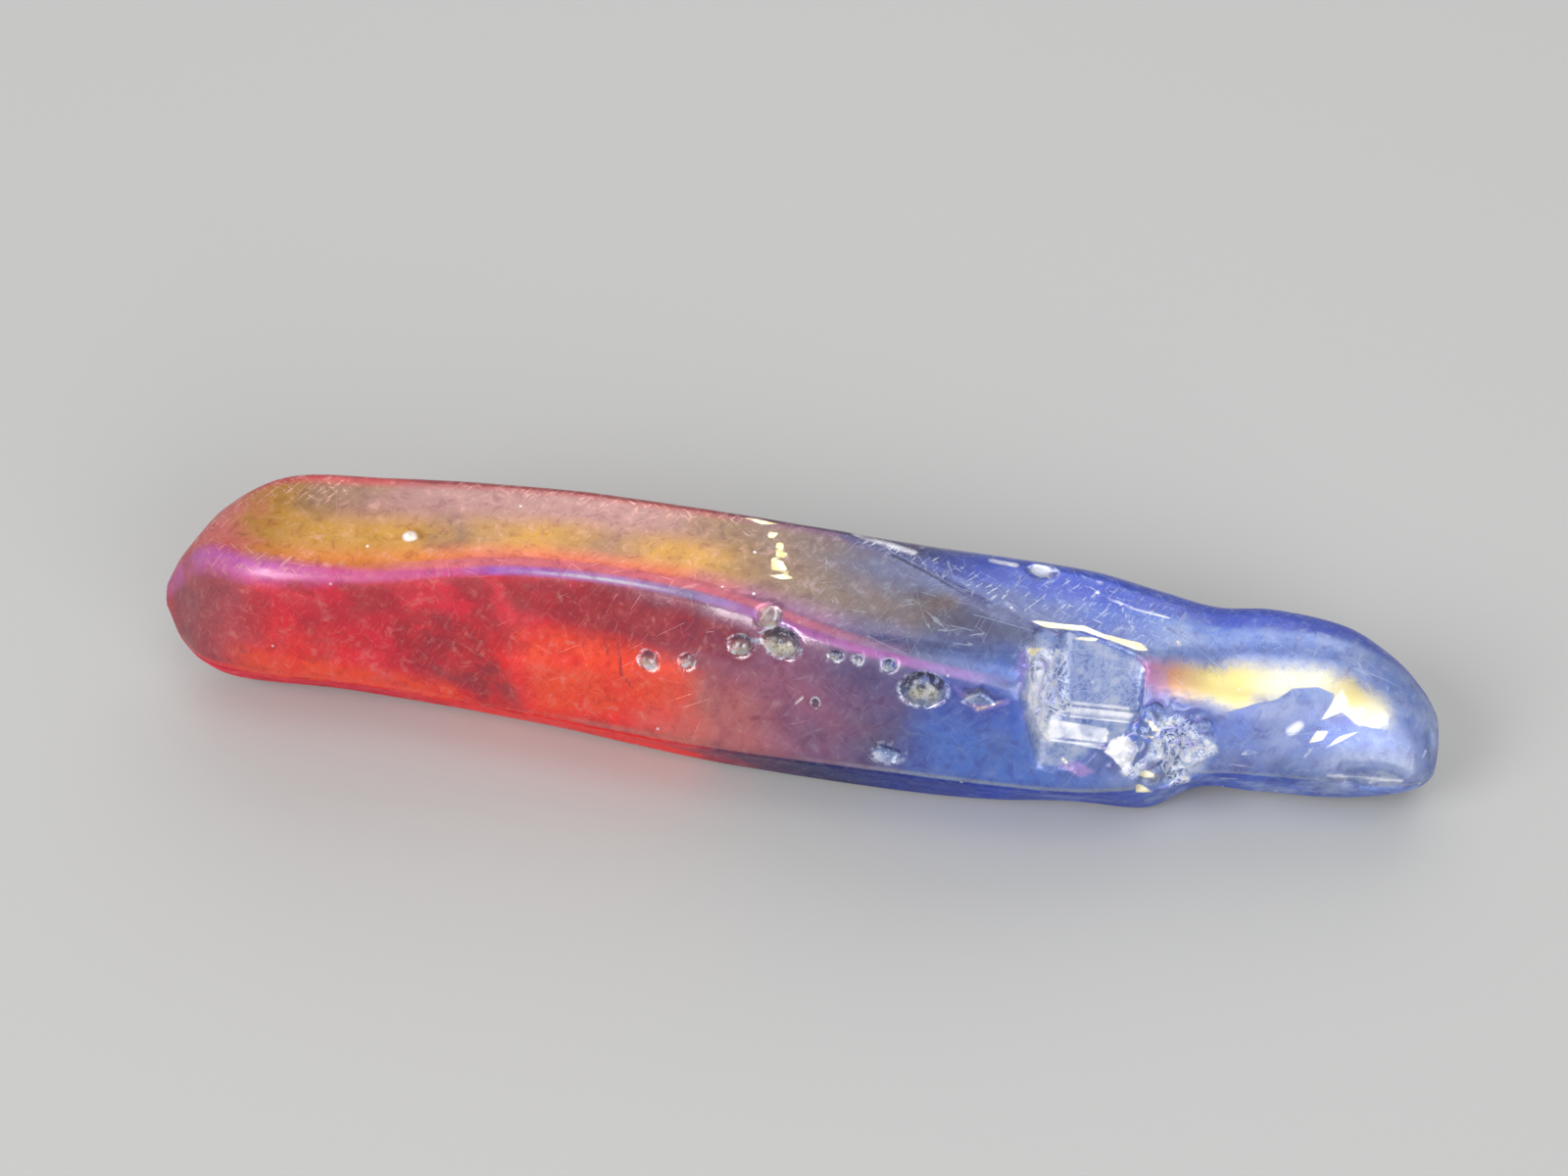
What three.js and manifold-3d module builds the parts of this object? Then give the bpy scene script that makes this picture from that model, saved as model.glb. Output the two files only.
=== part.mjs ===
// A tumbled quartz point with a red-to-blue aura coating, lying on one of its prism faces.
// Millimetres, +Z up. X runs along the crystal, from the worn tip (-X) to the broken root (+X).
// The origin is on the resting face, under the middle of the stone's box.
import * as THREE from "three";
import { mergeVertices } from "three/addons/utils/BufferGeometryUtils.js";
import Module from "manifold-3d";

// Driving dimensions.
const LENGTH = 75;
const WIDTH = 14.4;
const HEIGHT = 12.6;

// How finely the stone is drawn.
const STEPS_PER_STATION = 4; // cross-sections from one station to the next
const CORNER_STEPS = 3; // flats in the round of each long edge
const MOST_ROUND = 0.4; // the share of a side that the round at one of its ends may take
const WELD = 1e-4; // vertices closer than this are one, in millimetres

// The cage. Stations are places along the length, and each of the seven long edges has one corner at each.
// Every number is a percentage: x of the length from its middle, across of the cage's width from its middle
// (minus is the front), and up of the height from the resting face. 'round' is how far from a corner its
// round starts, in millimetres.
const CAGE_WIDTH = WIDTH * 1.03; // its corners lie outside the skin, which is rounded between them
const STATIONS = [-50, -48.5, -45.5, -40.5, -33, -20, -7, 5, 15, 23, 28.5, 32.5, 37, 42.5, 46.5, 49, 50];
const EDGES = [
  {
    name: "front foot",
    round: 0.8,
    across: [-1, -7, -13, -9, -10, -16, -26, -31, -32, -28, -28, -18, -16, -16, -14, -12, -9],
    up: [40, 21, 9, 0, 0, 0, 0, 0, 0, 0, 0, 5, 3, 4, 7, 12, 17],
  },
  {
    name: "front belt",
    round: 0.8,
    across: [-4, -14, -27, -32, -32, -38, -46, -49, -50, -49, -42, -31, -28, -27, -26, -21, -14],
    up: [42, 32, 35, 37, 37, 37, 38, 38, 37, 36, 35, 33, 32, 31, 30, 28, 27],
  },
  {
    name: "front crest",
    round: 1.2,
    across: [0, -2, -10, -22, -22, -11, -14, -30, -36, -34, -20, -18, -16, -11, -10, -10, -9],
    up: [49, 62, 83, 94, 96, 98, 97, 94, 89, 81, 74, 68, 65, 63, 56, 45, 37],
  },
  {
    name: "middle crest",
    round: 1.2,
    across: [3, 5, 8, 16, 20, 24, 22, 20, -3, -15, -6, 3, 7, 10, 7, 3, 0],
    up: [49, 66, 86, 98, 100, 100, 100, 99, 97, 88, 81, 77, 77, 74, 64, 51, 41],
  },
  {
    name: "back crest",
    round: 1.4,
    across: [5, 12, 22, 30, 34, 37, 33, 28, 31, 32, 31, 30, 31, 30, 23, 14, 8],
    up: [48, 60, 82, 98, 99, 99, 99, 97, 90, 85, 77, 72, 73, 67, 56, 45, 38],
  },
  {
    name: "back belt",
    round: 1.4,
    across: [6, 19, 33, 43, 47, 49, 50, 50, 49, 47, 45, 41, 40, 38, 30, 20, 11],
    up: [44, 42, 45, 51, 52, 51, 50, 49, 46, 43, 40, 38, 37, 35, 33, 31, 30],
  },
  {
    name: "back foot",
    round: 1.0,
    across: [3, 5, 12, 22, 24, 26, 26, 26, 26, 24, 22, 20, 20, 18, 14, 11, 5],
    up: [35, 24, 11, 0, 0, 0, 0, 0, 0, 0, 0, 2, 0, 2, 4, 10, 14],
  },
];

// ---------------------------------------------------------------- the tumbled body

/** How fast a list changes with the length at station i, from the stations on both sides of it. */
function slope(list, i) {
  const before = Math.max(i - 1, 0);
  const after = Math.min(i + 1, STATIONS.length - 1);
  return (list[after] - list[before]) / (STATIONS[after] - STATIONS[before]);
}

/** The value at t (0 to 1) between stations i and i + 1, on a curve through the list's value at each. */
function between(list, i, t) {
  const step = STATIONS[i + 1] - STATIONS[i];
  return (
    (2 * t ** 3 - 3 * t ** 2 + 1) * list[i] +
    (t ** 3 - 2 * t ** 2 + t) * step * slope(list, i) +
    (3 * t ** 2 - 2 * t ** 3) * list[i + 1] +
    (t ** 3 - t ** 2) * step * slope(list, i + 1)
  );
}

/** A place in or on the stone, from its percentages. */
function place(x, across, up) {
  return new THREE.Vector3((x * LENGTH) / 100, (across * CAGE_WIDTH) / 100, (up * HEIGHT) / 100);
}

/** The corners of the cross-section at t between stations i and i + 1, one for each long edge. */
function sectionCorners(i, t) {
  const x = THREE.MathUtils.lerp(STATIONS[i], STATIONS[i + 1], t);
  return EDGES.map(({ across, up }) => place(x, between(across, i, t), Math.max(between(up, i, t), 0)));
}

/** A ring of corners with each corner rounded. */
function roundedRing(corners) {
  const ring = [];
  corners.forEach((corner, k) => {
    const previous = corners[(k + corners.length - 1) % corners.length];
    const next = corners[(k + 1) % corners.length];
    const back = previous.clone().sub(corner);
    const on = next.clone().sub(corner);
    const start = corner.clone().addScaledVector(back, Math.min(MOST_ROUND, EDGES[k].round / back.length()));
    const end = corner.clone().addScaledVector(on, Math.min(MOST_ROUND, EDGES[k].round / on.length()));
    ring.push(...new THREE.QuadraticBezierCurve3(start, corner, end).getPoints(CORNER_STEPS));
  });
  return ring;
}

/** The closed skin over the rings, from the tip to the root. */
function bodyGeometry() {
  const rings = [];
  const spans = STATIONS.length - 1;
  for (let i = 0; i < spans; i += 1)
    for (let step = 0; step < STEPS_PER_STATION; step += 1)
      rings.push(roundedRing(sectionCorners(i, step / STEPS_PER_STATION)));
  rings.push(roundedRing(sectionCorners(spans - 1, 1)));

  const around = rings[0].length;
  const vertices = rings.flat();
  const triangles = [];
  for (let r = 0; r + 1 < rings.length; r += 1)
    for (let k = 0; k < around; k += 1) {
      const a = r * around + k;
      const b = r * around + ((k + 1) % around);
      triangles.push(b, a, a + around, b, a + around, b + around);
    }
  const cap = (ring, order) => {
    const centre = vertices.length;
    const middle = new THREE.Vector3();
    rings[ring].forEach((p) => middle.addScaledVector(p, 1 / around));
    vertices.push(middle);
    for (let k = 0; k < around; k += 1) {
      const side = [ring * around + k, ring * around + ((k + 1) % around)];
      triangles.push(side[order], side[1 - order], centre);
    }
  };
  cap(0, 0);
  cap(rings.length - 1, 1);

  const geometry = new THREE.BufferGeometry().setFromPoints(vertices);
  geometry.setIndex(triangles);
  return geometry;
}

// ---------------------------------------------------------------- what the stone has lost

// The ways that the faces look.
const TOP_FACE = new THREE.Vector3(0, 0, 1);
const FRONT_FACE = new THREE.Vector3(0, -0.9, 0.43).normalize();
const ROOT_CORNER = new THREE.Vector3(0.83, -0.36, 0.42).normalize();

// Pits and chips: the middle of each mouth, its half width along the stone, its half width across and its
// depth in millimetres, the face it is in, and how its mouth is turned in that face, in degrees.
const PITS = [
  { at: [-29, 1, 99], along: 0.5, over: 0.3, deep: 0.25, face: TOP_FACE, turn: 30 },
  { at: [-10, -28, 69], along: 0.6, over: 0.55, deep: 0.5, face: FRONT_FACE, turn: 0 },
  { at: [-7, -28, 71], along: 0.45, over: 0.4, deep: 0.4, face: FRONT_FACE, turn: 0 },
  { at: [-3, -26, 82], along: 0.75, over: 0.6, deep: 0.6, face: FRONT_FACE, turn: 15 },
  { at: [0, -27, 88], along: 1.2, over: 0.85, deep: 0.9, face: FRONT_FACE, turn: -10 },
  { at: [-1.3, -18, 96], along: 0.6, over: 0.5, deep: 0.3, face: TOP_FACE, turn: 40 },
  { at: [4.3, -31, 88], along: 0.45, over: 0.3, deep: 0.3, face: FRONT_FACE, turn: 0 },
  { at: [6, -32, 88], along: 0.3, over: 0.3, deep: 0.3, face: FRONT_FACE, turn: 0 },
  { at: [8.3, -33, 88], along: 0.4, over: 0.35, deep: 0.3, face: FRONT_FACE, turn: 20 },
  { at: [11, -37, 80], along: 1.3, over: 1.0, deep: 1.2, face: FRONT_FACE, turn: 5 },
  { at: [8.7, -47, 46], along: 0.95, over: 0.7, deep: 0.3, face: FRONT_FACE, turn: 0 },
  { at: [3, -38, 65], along: 0.25, over: 0.35, deep: 0.3, face: FRONT_FACE, turn: 0 },
  { at: [19, 24, 89], along: 0.8, over: 0.6, deep: 0.3, face: TOP_FACE, turn: 0 },
  { at: [-3.2, 24, 99.5], along: 0.5, over: 0.3, deep: 0.25, face: TOP_FACE, turn: 20 },
  { at: [-2.2, 12, 99], along: 0.4, over: 0.55, deep: 0.25, face: TOP_FACE, turn: 10 },
  { at: [-1, 2, 97.5], along: 0.45, over: 0.5, deep: 0.25, face: TOP_FACE, turn: -20 },
  { at: [49.4, -8, 45], along: 0.5, over: 0.9, deep: 0.45, face: ROOT_CORNER, turn: 15 },
];

// A notch with three flat sides in the front crest, beside the socket.
const NOTCH = { at: [15.3, -37, 84], along: 1.5, over: 0.9, deep: 0.8, turn: 180 };

/** A smooth pit: a rounded lump sunk to its middle in the face it is in. */
function pit({ at, along, over, deep, face, turn }) {
  const lump = new THREE.IcosahedronGeometry(1, 2);
  lump.scale(along, over, deep);
  lump.rotateZ(THREE.MathUtils.degToRad(turn));
  lump.applyQuaternion(new THREE.Quaternion().setFromUnitVectors(TOP_FACE, face));
  const { x, y, z } = place(...at);
  return lump.translate(x, y, z);
}

/** The notch's cutter: a three-sided spike that points into the stone. */
function notch({ at, along, over, deep, turn }) {
  const spike = new THREE.ConeGeometry(1, 2, 3);
  spike.rotateX(-Math.PI / 2);
  spike.scale(along, over, deep);
  spike.rotateZ(THREE.MathUtils.degToRad(turn));
  spike.applyQuaternion(new THREE.Quaternion().setFromUnitVectors(TOP_FACE, FRONT_FACE));
  const { x, y, z } = place(...at);
  return spike.translate(x, y, z);
}

// The broken socket at the front, where another crystal grew, is cut in two steps: its floor, and a shallower
// shelf on the left. 'from' and 'to' are where each starts and ends along the stone. The profile across the
// stone goes from the lip on top, down the smooth slope and the treads, to the worn rim on the front face.
// Beyond that is air. Each wall leans out by its splay, in millimetres for each millimetre above the slope.
const SOCKET = [
  {
    from: 21.2,
    to: 27.1,
    profile: [
      [-6, 111], [-7.5, 89], [-9, 86], [-24, 65], [-31, 64],
      [-32, 59.5], [-39, 58], [-45, 48], [-61, 48], [-61, 111],
    ],
    splay: [0.85, 0.12],
  },
  {
    from: 19.0,
    to: 21.4,
    profile: [[-7, 111], [-8, 96], [-10, 91], [-36, 75], [-42, 63], [-61, 63], [-61, 111]],
    splay: [0.5, 0],
  },
];
const SLOPE_TOP = 2; // the corner of each profile where its slope starts

/** One of the socket's cutters: its profile drawn out along the stone, with both walls leaning away. */
function socket({ from, to, profile, splay }) {
  const corners = profile.map(([across, up]) => place(0, across, up));
  const outline = new THREE.Shape(corners.map(({ y, z }) => new THREE.Vector2(y, z)));
  const start = place(from, 0, 0).x;
  const width = place(to, 0, 0).x - start;
  const cutter = new THREE.ExtrudeGeometry(outline, { depth: width, bevelEnabled: false });
  const top = corners[SLOPE_TOP];
  const down = corners[SLOPE_TOP + 1].clone().sub(top).normalize();
  const positions = cutter.getAttribute("position");
  for (let i = 0; i < positions.count; i += 1) {
    const y = positions.getX(i);
    const z = positions.getY(i);
    const onRight = positions.getZ(i) > width / 2;
    const height = Math.max(0, (y - top.y) * down.z - (z - top.z) * down.y);
    const lean = onRight ? splay[1] * height : -splay[0] * height;
    positions.setXYZ(i, start + (onRight ? width : 0) + lean, y, z);
  }
  return cutter;
}

// The grooves in the top: where each runs, and its radius in millimetres.
const GROOVES = [
  { along: [[2, 30, 99.5], [8, 17, 99], [15, -3, 97.5], [18.5, -10, 94.5]], radius: 0.3 },
  { along: [[7.5, -24, 95], [14, -25, 93.5]], radius: 0.18 },
];

/** A groove's cutter: a rod laid along the groove, half sunk in the skin. */
function groove({ along, radius }) {
  const section = new THREE.Shape(new THREE.EllipseCurve(0, 0, radius, radius).getPoints(6).slice(0, 6));
  const path = new THREE.CatmullRomCurve3(along.map((point) => place(...point)));
  return new THREE.ExtrudeGeometry(section, { steps: 10, extrudePath: path, bevelEnabled: false });
}

// Flakes broken off the skin, each leaving a flat scar: a place on the skin, how far under it the scar lies
// in millimetres, and the way the scar looks.
const FLAKES = [
  { at: [27.9, -27, 65], deep: 0.3, looks: [0.55, -0.6, 0.58] },
  { at: [30.1, -31, 49], deep: 0.35, looks: [0.6, -0.75, 0.25] },
  { at: [32.7, -26, 48], deep: 0.25, looks: [0, -0.8, 0.6] },
  { at: [29.6, -38, 34], deep: 0.3, looks: [0.5, -0.8, 0.3] },
  { at: [33.2, -28, 40], deep: 0.2, looks: [-0.1, -0.85, 0.5] },
  { at: [42, -13.5, 57], deep: 0.25, looks: [0.1, -0.6, 0.8] },
  { at: [43.7, -15, 53], deep: 0.2, looks: [0.3, -0.75, 0.6] },
  { at: [45, -25, 31], deep: 0.25, looks: [0.1, -0.95, 0.25] },
];
const FLAKE_REACH = 2.2; // the cutter's half width in millimetres, wider than most scars

/** A flake's cutter: a five-sided slab that stands on the scar and looks the way it does. */
function flake({ at, deep, looks }) {
  const way = new THREE.Vector3(...looks).normalize();
  const slab = new THREE.CylinderGeometry(FLAKE_REACH, FLAKE_REACH, 2, 5);
  slab.translate(0, 1 - deep, 0);
  slab.applyQuaternion(new THREE.Quaternion().setFromUnitVectors(new THREE.Vector3(0, 1, 0), way));
  const { x, y, z } = place(...at);
  return slab.translate(x, y, z);
}

// ---------------------------------------------------------------- joining and cutting

const wasm = await Module();
wasm.setup();

/** A closed geometry as a solid that can be cut. */
function solidOf(geometry) {
  const bare = new THREE.BufferGeometry();
  bare.setAttribute("position", geometry.getAttribute("position"));
  if (geometry.index) bare.setIndex(geometry.index);
  const merged = mergeVertices(bare, WELD);
  return new wasm.Manifold(
    new wasm.Mesh({
      numProp: 3,
      vertProperties: new Float32Array(merged.attributes.position.array),
      triVerts: new Uint32Array(merged.index.array),
    }),
  );
}

/** A solid's skin as a geometry. */
function geometryOf(solid) {
  const skin = solid.getMesh();
  const geometry = new THREE.BufferGeometry();
  geometry.setAttribute("position", new THREE.BufferAttribute(skin.vertProperties, 3));
  geometry.setIndex(new THREE.BufferAttribute(skin.triVerts, 1));
  return geometry;
}

const cutters = [
  ...SOCKET.map(socket),
  ...PITS.map(pit),
  notch(NOTCH),
  ...GROOVES.map(groove),
  ...FLAKES.map(flake),
];
const worn = cutters.reduce((solid, cutter) => solid.subtract(solidOf(cutter)), solidOf(bodyGeometry()));

/** The stone's geometry with its box at the driving dimensions, its origin under the middle of that box. */
function fitted(geometry) {
  geometry.computeBoundingBox();
  const box = geometry.boundingBox;
  const size = box.getSize(new THREE.Vector3());
  const middle = box.getCenter(new THREE.Vector3());
  geometry.translate(-middle.x, -middle.y, -box.min.z);
  geometry.scale(LENGTH / size.x, WIDTH / size.y, HEIGHT / size.z);
  geometry.computeVertexNormals();
  return geometry;
}

const COATED_QUARTZ = new THREE.MeshStandardMaterial({ color: 0xb05a8c, roughness: 0.15, metalness: 0.0 });
COATED_QUARTZ.flatShading = true;

const quartzPoint = new THREE.Mesh(fitted(geometryOf(worn)), COATED_QUARTZ);
quartzPoint.name = "quartz_point";

const stone = new THREE.Group();
stone.add(quartzPoint);

export default stone;
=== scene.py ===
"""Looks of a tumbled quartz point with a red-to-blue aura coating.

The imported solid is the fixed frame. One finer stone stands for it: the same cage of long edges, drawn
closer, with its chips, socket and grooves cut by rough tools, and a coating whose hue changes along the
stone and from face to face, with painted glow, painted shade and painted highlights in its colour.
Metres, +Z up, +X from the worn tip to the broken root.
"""

import logging
import math
from collections.abc import Iterator
from contextlib import contextmanager
from dataclasses import dataclass, field
from enum import Enum
from functools import reduce

import bpy
import numpy as np
from mathutils import Matrix, Vector
from mathutils.bvhtree import BVHTree


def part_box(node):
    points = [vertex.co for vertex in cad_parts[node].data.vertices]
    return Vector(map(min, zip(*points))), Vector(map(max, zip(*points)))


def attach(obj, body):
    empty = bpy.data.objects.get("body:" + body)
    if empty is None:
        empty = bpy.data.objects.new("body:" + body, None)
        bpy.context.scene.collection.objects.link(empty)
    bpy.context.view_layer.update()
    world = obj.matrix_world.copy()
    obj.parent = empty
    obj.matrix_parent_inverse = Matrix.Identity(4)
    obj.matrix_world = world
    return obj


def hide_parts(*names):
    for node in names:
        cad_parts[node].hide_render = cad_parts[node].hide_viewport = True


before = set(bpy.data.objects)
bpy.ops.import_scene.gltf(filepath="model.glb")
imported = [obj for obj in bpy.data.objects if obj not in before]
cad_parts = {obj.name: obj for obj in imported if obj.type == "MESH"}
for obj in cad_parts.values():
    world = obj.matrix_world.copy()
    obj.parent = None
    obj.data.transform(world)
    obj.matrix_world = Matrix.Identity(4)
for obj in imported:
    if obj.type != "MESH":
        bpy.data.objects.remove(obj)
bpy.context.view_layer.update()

NODE = "quartz_point"
BODY = "root"
MM = 0.001
log = logging.getLogger("aura_quartz")

Piece = bpy.types.Object
Place = tuple[float, float, float]
Path = tuple[Place, ...]


# ---------------------------------------------------------------- working with the modeller's tools


def pick(piece: Piece) -> None:
    """Selects one object alone and makes it the active one."""
    bpy.ops.object.select_all(action="DESELECT")
    piece.select_set(True)
    bpy.context.view_layer.objects.active = piece


def newest(name: str) -> Piece:
    """Names the object that an operator has just added, and returns it.

    Args:
        name: what it is called.

    Returns:
        The object.
    """
    piece = bpy.context.active_object
    piece.name = name
    piece.data.name = name
    return piece


def settle(piece: Piece) -> None:
    """Moves an object's turn, size and place into its mesh."""
    pick(piece)
    bpy.ops.object.transform_apply(location=True, rotation=True, scale=True)


@contextmanager
def editing(piece: Piece) -> Iterator[None]:
    """Opens a mesh for editing with all of it selected, and closes it again.

    Args:
        piece: the mesh.
    """
    pick(piece)
    bpy.ops.object.mode_set(mode="EDIT")
    bpy.ops.mesh.select_all(action="SELECT")
    yield
    bpy.ops.object.mode_set(mode="OBJECT")


def finish_modifier(piece: Piece, modifier: bpy.types.Modifier) -> None:
    """Applies one modifier to its object."""
    pick(piece)
    bpy.ops.object.modifier_apply(modifier=modifier.name)


def discard(piece: Piece) -> None:
    """Deletes an object and its mesh."""
    mesh = piece.data
    bpy.data.objects.remove(piece)
    bpy.data.meshes.remove(mesh)


def rows(source: object, name: str, width: int, kind: type = np.float32) -> np.ndarray:
    """Reads a number or a few for each item of a mesh's list, one row each."""
    flat = np.empty(len(source) * width, kind)
    source.foreach_get(name, flat)
    return flat.reshape(-1, width)


def coordinates(piece: Piece) -> np.ndarray:
    """The places of a mesh's vertices, one row each."""
    return rows(piece.data.vertices, "co", 3).astype(float)


def put_coordinates(piece: Piece, points: np.ndarray) -> None:
    """Moves a mesh's vertices to new places, one row each."""
    piece.data.vertices.foreach_set("co", points.astype(np.float32).ravel())
    piece.data.update()


def keep_attribute(piece: Piece, name: str, values: np.ndarray) -> None:
    """Stores one number for each vertex under a name that the finish reads."""
    piece.data.attributes.new(name, "FLOAT", "POINT").data.foreach_set("value", values.astype(np.float32))


def gaps(points: np.ndarray, first: np.ndarray, last: np.ndarray) -> np.ndarray:
    """How far each point is from a straight stretch between two others."""
    side = last - first
    share = np.clip((points - first) @ side / (side @ side), 0, 1)
    return np.linalg.norm(points - first - share[:, None] * side, axis=1)


def smoothstep(values: np.ndarray, low: float, high: float) -> np.ndarray:
    """0 below low, 1 above high and a smooth rise between them."""
    t = np.clip((values - low) / (high - low), 0, 1)
    return t * t * (3 - 2 * t)


class Grain(Enum):
    """The patterns that a surface may be roughened with."""

    CLOUDS = "CLOUDS"
    CELLS = "VORONOI"


def roughen(piece: Piece, grain: Grain, size: float, height: float, group: str = "") -> None:
    """Pushes a mesh's skin in and out by a procedural pattern.

    Args:
        piece: the mesh to roughen.
        grain: the pattern.
        size: how far apart its lumps are, in metres.
        height: from the deepest hollow to the highest lump, in metres.
        group: the vertex group that it is held to, or none for the whole skin.
    """
    texture = bpy.data.textures.new(f"{grain.name.lower()}_{piece.name}", grain.value)
    texture.noise_scale = size
    if grain is Grain.CLOUDS:
        texture.noise_depth = 2
    modifier = piece.modifiers.new("roughen", "DISPLACE")
    modifier.texture = texture
    modifier.texture_coords = "LOCAL"
    modifier.strength = height
    modifier.mid_level = 0.5
    modifier.direction = "NORMAL"
    modifier.vertex_group = group
    finish_modifier(piece, modifier)
    bpy.data.textures.remove(texture)


def subtract(body: Piece, cutter: Piece) -> None:
    """Cuts one closed mesh out of another, and deletes the cutter.

    Args:
        body: what is cut.
        cutter: what it is cut with.
    """
    modifier = body.modifiers.new("cut", "BOOLEAN")
    modifier.operation = "DIFFERENCE"
    modifier.solver = "MANIFOLD"
    modifier.object = cutter
    finish_modifier(body, modifier)
    discard(cutter)


# ---------------------------------------------------------------- the cage


@dataclass(frozen=True)
class LongEdge:
    """One of the stone's long edges: where it is at each station, in percentages, and its round.

    Attributes:
        name: what it is called.
        round: how far from the corner its round starts, in metres.
        across: percentages of the cage's width from its middle, minus at the front.
        up: percentages of the height from the resting face.
    """

    name: str
    round: float
    across: tuple[float, ...]
    up: tuple[float, ...]


@dataclass(frozen=True)
class Cage:
    """The long edges and the stations that they pass through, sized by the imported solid's box.

    Attributes:
        length: the stone's length in metres.
        width: the cage's width in metres, a little more than the stone's.
        height: the stone's height in metres.
        stations: places along the stone, in percentages of the length from its middle.
        edges: the long edges, in order round the stone.
        corner_steps: flats in the round of each edge.
        side_steps: flats in the rest of each side.
        ring_gap: how far apart the drawn cross-sections are, in metres.
        most_round: the most of a side that a round may take.
    """

    length: float
    width: float
    height: float
    stations: tuple[float, ...] = (
        -50, -48.5, -45.5, -40.5, -33, -20, -7, 5, 15, 23, 28.5, 32.5, 37, 42.5, 46.5, 49, 50,
    )
    edges: tuple[LongEdge, ...] = (
        LongEdge(
            "front foot", 0.8 * MM,
            (-1, -7, -13, -9, -10, -16, -26, -31, -32, -28, -28, -18, -16, -16, -14, -12, -9),
            (40, 21, 9, 0, 0, 0, 0, 0, 0, 0, 0, 5, 3, 4, 7, 12, 17),
        ),
        LongEdge(
            "front belt", 0.8 * MM,
            (-4, -14, -27, -32, -32, -38, -46, -49, -50, -49, -42, -31, -28, -27, -26, -21, -14),
            (42, 32, 35, 37, 37, 37, 38, 38, 37, 36, 35, 33, 32, 31, 30, 28, 27),
        ),
        LongEdge(
            "front crest", 1.2 * MM,
            (0, -2, -10, -22, -22, -11, -14, -30, -36, -34, -20, -18, -16, -11, -10, -10, -9),
            (49, 62, 83, 94, 96, 98, 97, 94, 89, 81, 74, 68, 65, 63, 56, 45, 37),
        ),
        LongEdge(
            "middle crest", 1.2 * MM,
            (3, 5, 8, 16, 20, 24, 22, 20, -3, -15, -6, 3, 7, 10, 7, 3, 0),
            (49, 66, 86, 98, 100, 100, 100, 99, 97, 88, 81, 77, 77, 74, 64, 51, 41),
        ),
        LongEdge(
            "back crest", 1.4 * MM,
            (5, 12, 22, 30, 34, 37, 33, 28, 31, 32, 31, 30, 31, 30, 23, 14, 8),
            (48, 60, 82, 98, 99, 99, 99, 97, 90, 85, 77, 72, 73, 67, 56, 45, 38),
        ),
        LongEdge(
            "back belt", 1.4 * MM,
            (6, 19, 33, 43, 47, 49, 50, 50, 49, 47, 45, 41, 40, 38, 30, 20, 11),
            (44, 42, 45, 51, 52, 51, 50, 49, 46, 43, 40, 38, 37, 35, 33, 31, 30),
        ),
        LongEdge(
            "back foot", 1.0 * MM,
            (3, 5, 12, 22, 24, 26, 26, 26, 26, 24, 22, 20, 20, 18, 14, 11, 5),
            (35, 24, 11, 0, 0, 0, 0, 0, 0, 0, 0, 2, 0, 2, 4, 10, 14),
        ),
    )
    corner_steps: int = 8
    side_steps: int = 8
    ring_gap: float = 0.25 * MM
    most_round: float = 0.4

    @classmethod
    def around(cls, node: str) -> "Cage":
        """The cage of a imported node, from the node's box.

        Args:
            node: the node's name.

        Returns:
            A cage of the node's size.
        """
        low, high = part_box(node)
        size = high - low
        return cls(length=size.x, width=size.y * 1.03, height=size.z)

    def place(self, x: float, across: float, up: float) -> Vector:
        """A place in or on the stone, from its percentages."""
        return Vector((x * self.length, across * self.width, up * self.height)) / 100

    def curve(self, values: tuple[float, ...], x: np.ndarray) -> np.ndarray:
        """A list's values at places along the stone, on a smooth curve through its stations.

        Args:
            values: one value for each station.
            x: places along the stone, in percentages.

        Returns:
            The value at each place.
        """
        s = np.array(self.stations, float)
        v = np.array(values, float)
        before = np.maximum(np.arange(len(s)) - 1, 0)
        after = np.minimum(np.arange(len(s)) + 1, len(s) - 1)
        slopes = (v[after] - v[before]) / (s[after] - s[before])
        i = np.clip(np.searchsorted(s, x, side="right") - 1, 0, len(s) - 2)
        step = s[i + 1] - s[i]
        t = np.clip((x - s[i]) / step, 0, 1)
        return (
            (2 * t**3 - 3 * t**2 + 1) * v[i]
            + (t**3 - 2 * t**2 + t) * step * slopes[i]
            + (3 * t**2 - 2 * t**3) * v[i + 1]
            + (t**3 - t**2) * step * slopes[i + 1]
        )

    def corners(self, x: np.ndarray) -> np.ndarray:
        """The corners of the cross-sections at places along the stone.

        Args:
            x: places along the stone, in percentages.

        Returns:
            For each place and each long edge, how far across and how far up it is, in metres.
        """
        across = np.stack([self.curve(edge.across, x) for edge in self.edges], axis=1)
        up = np.stack([np.maximum(self.curve(edge.up, x), 0) for edge in self.edges], axis=1)
        return np.stack([across * self.width, up * self.height], axis=2) / 100

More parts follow.
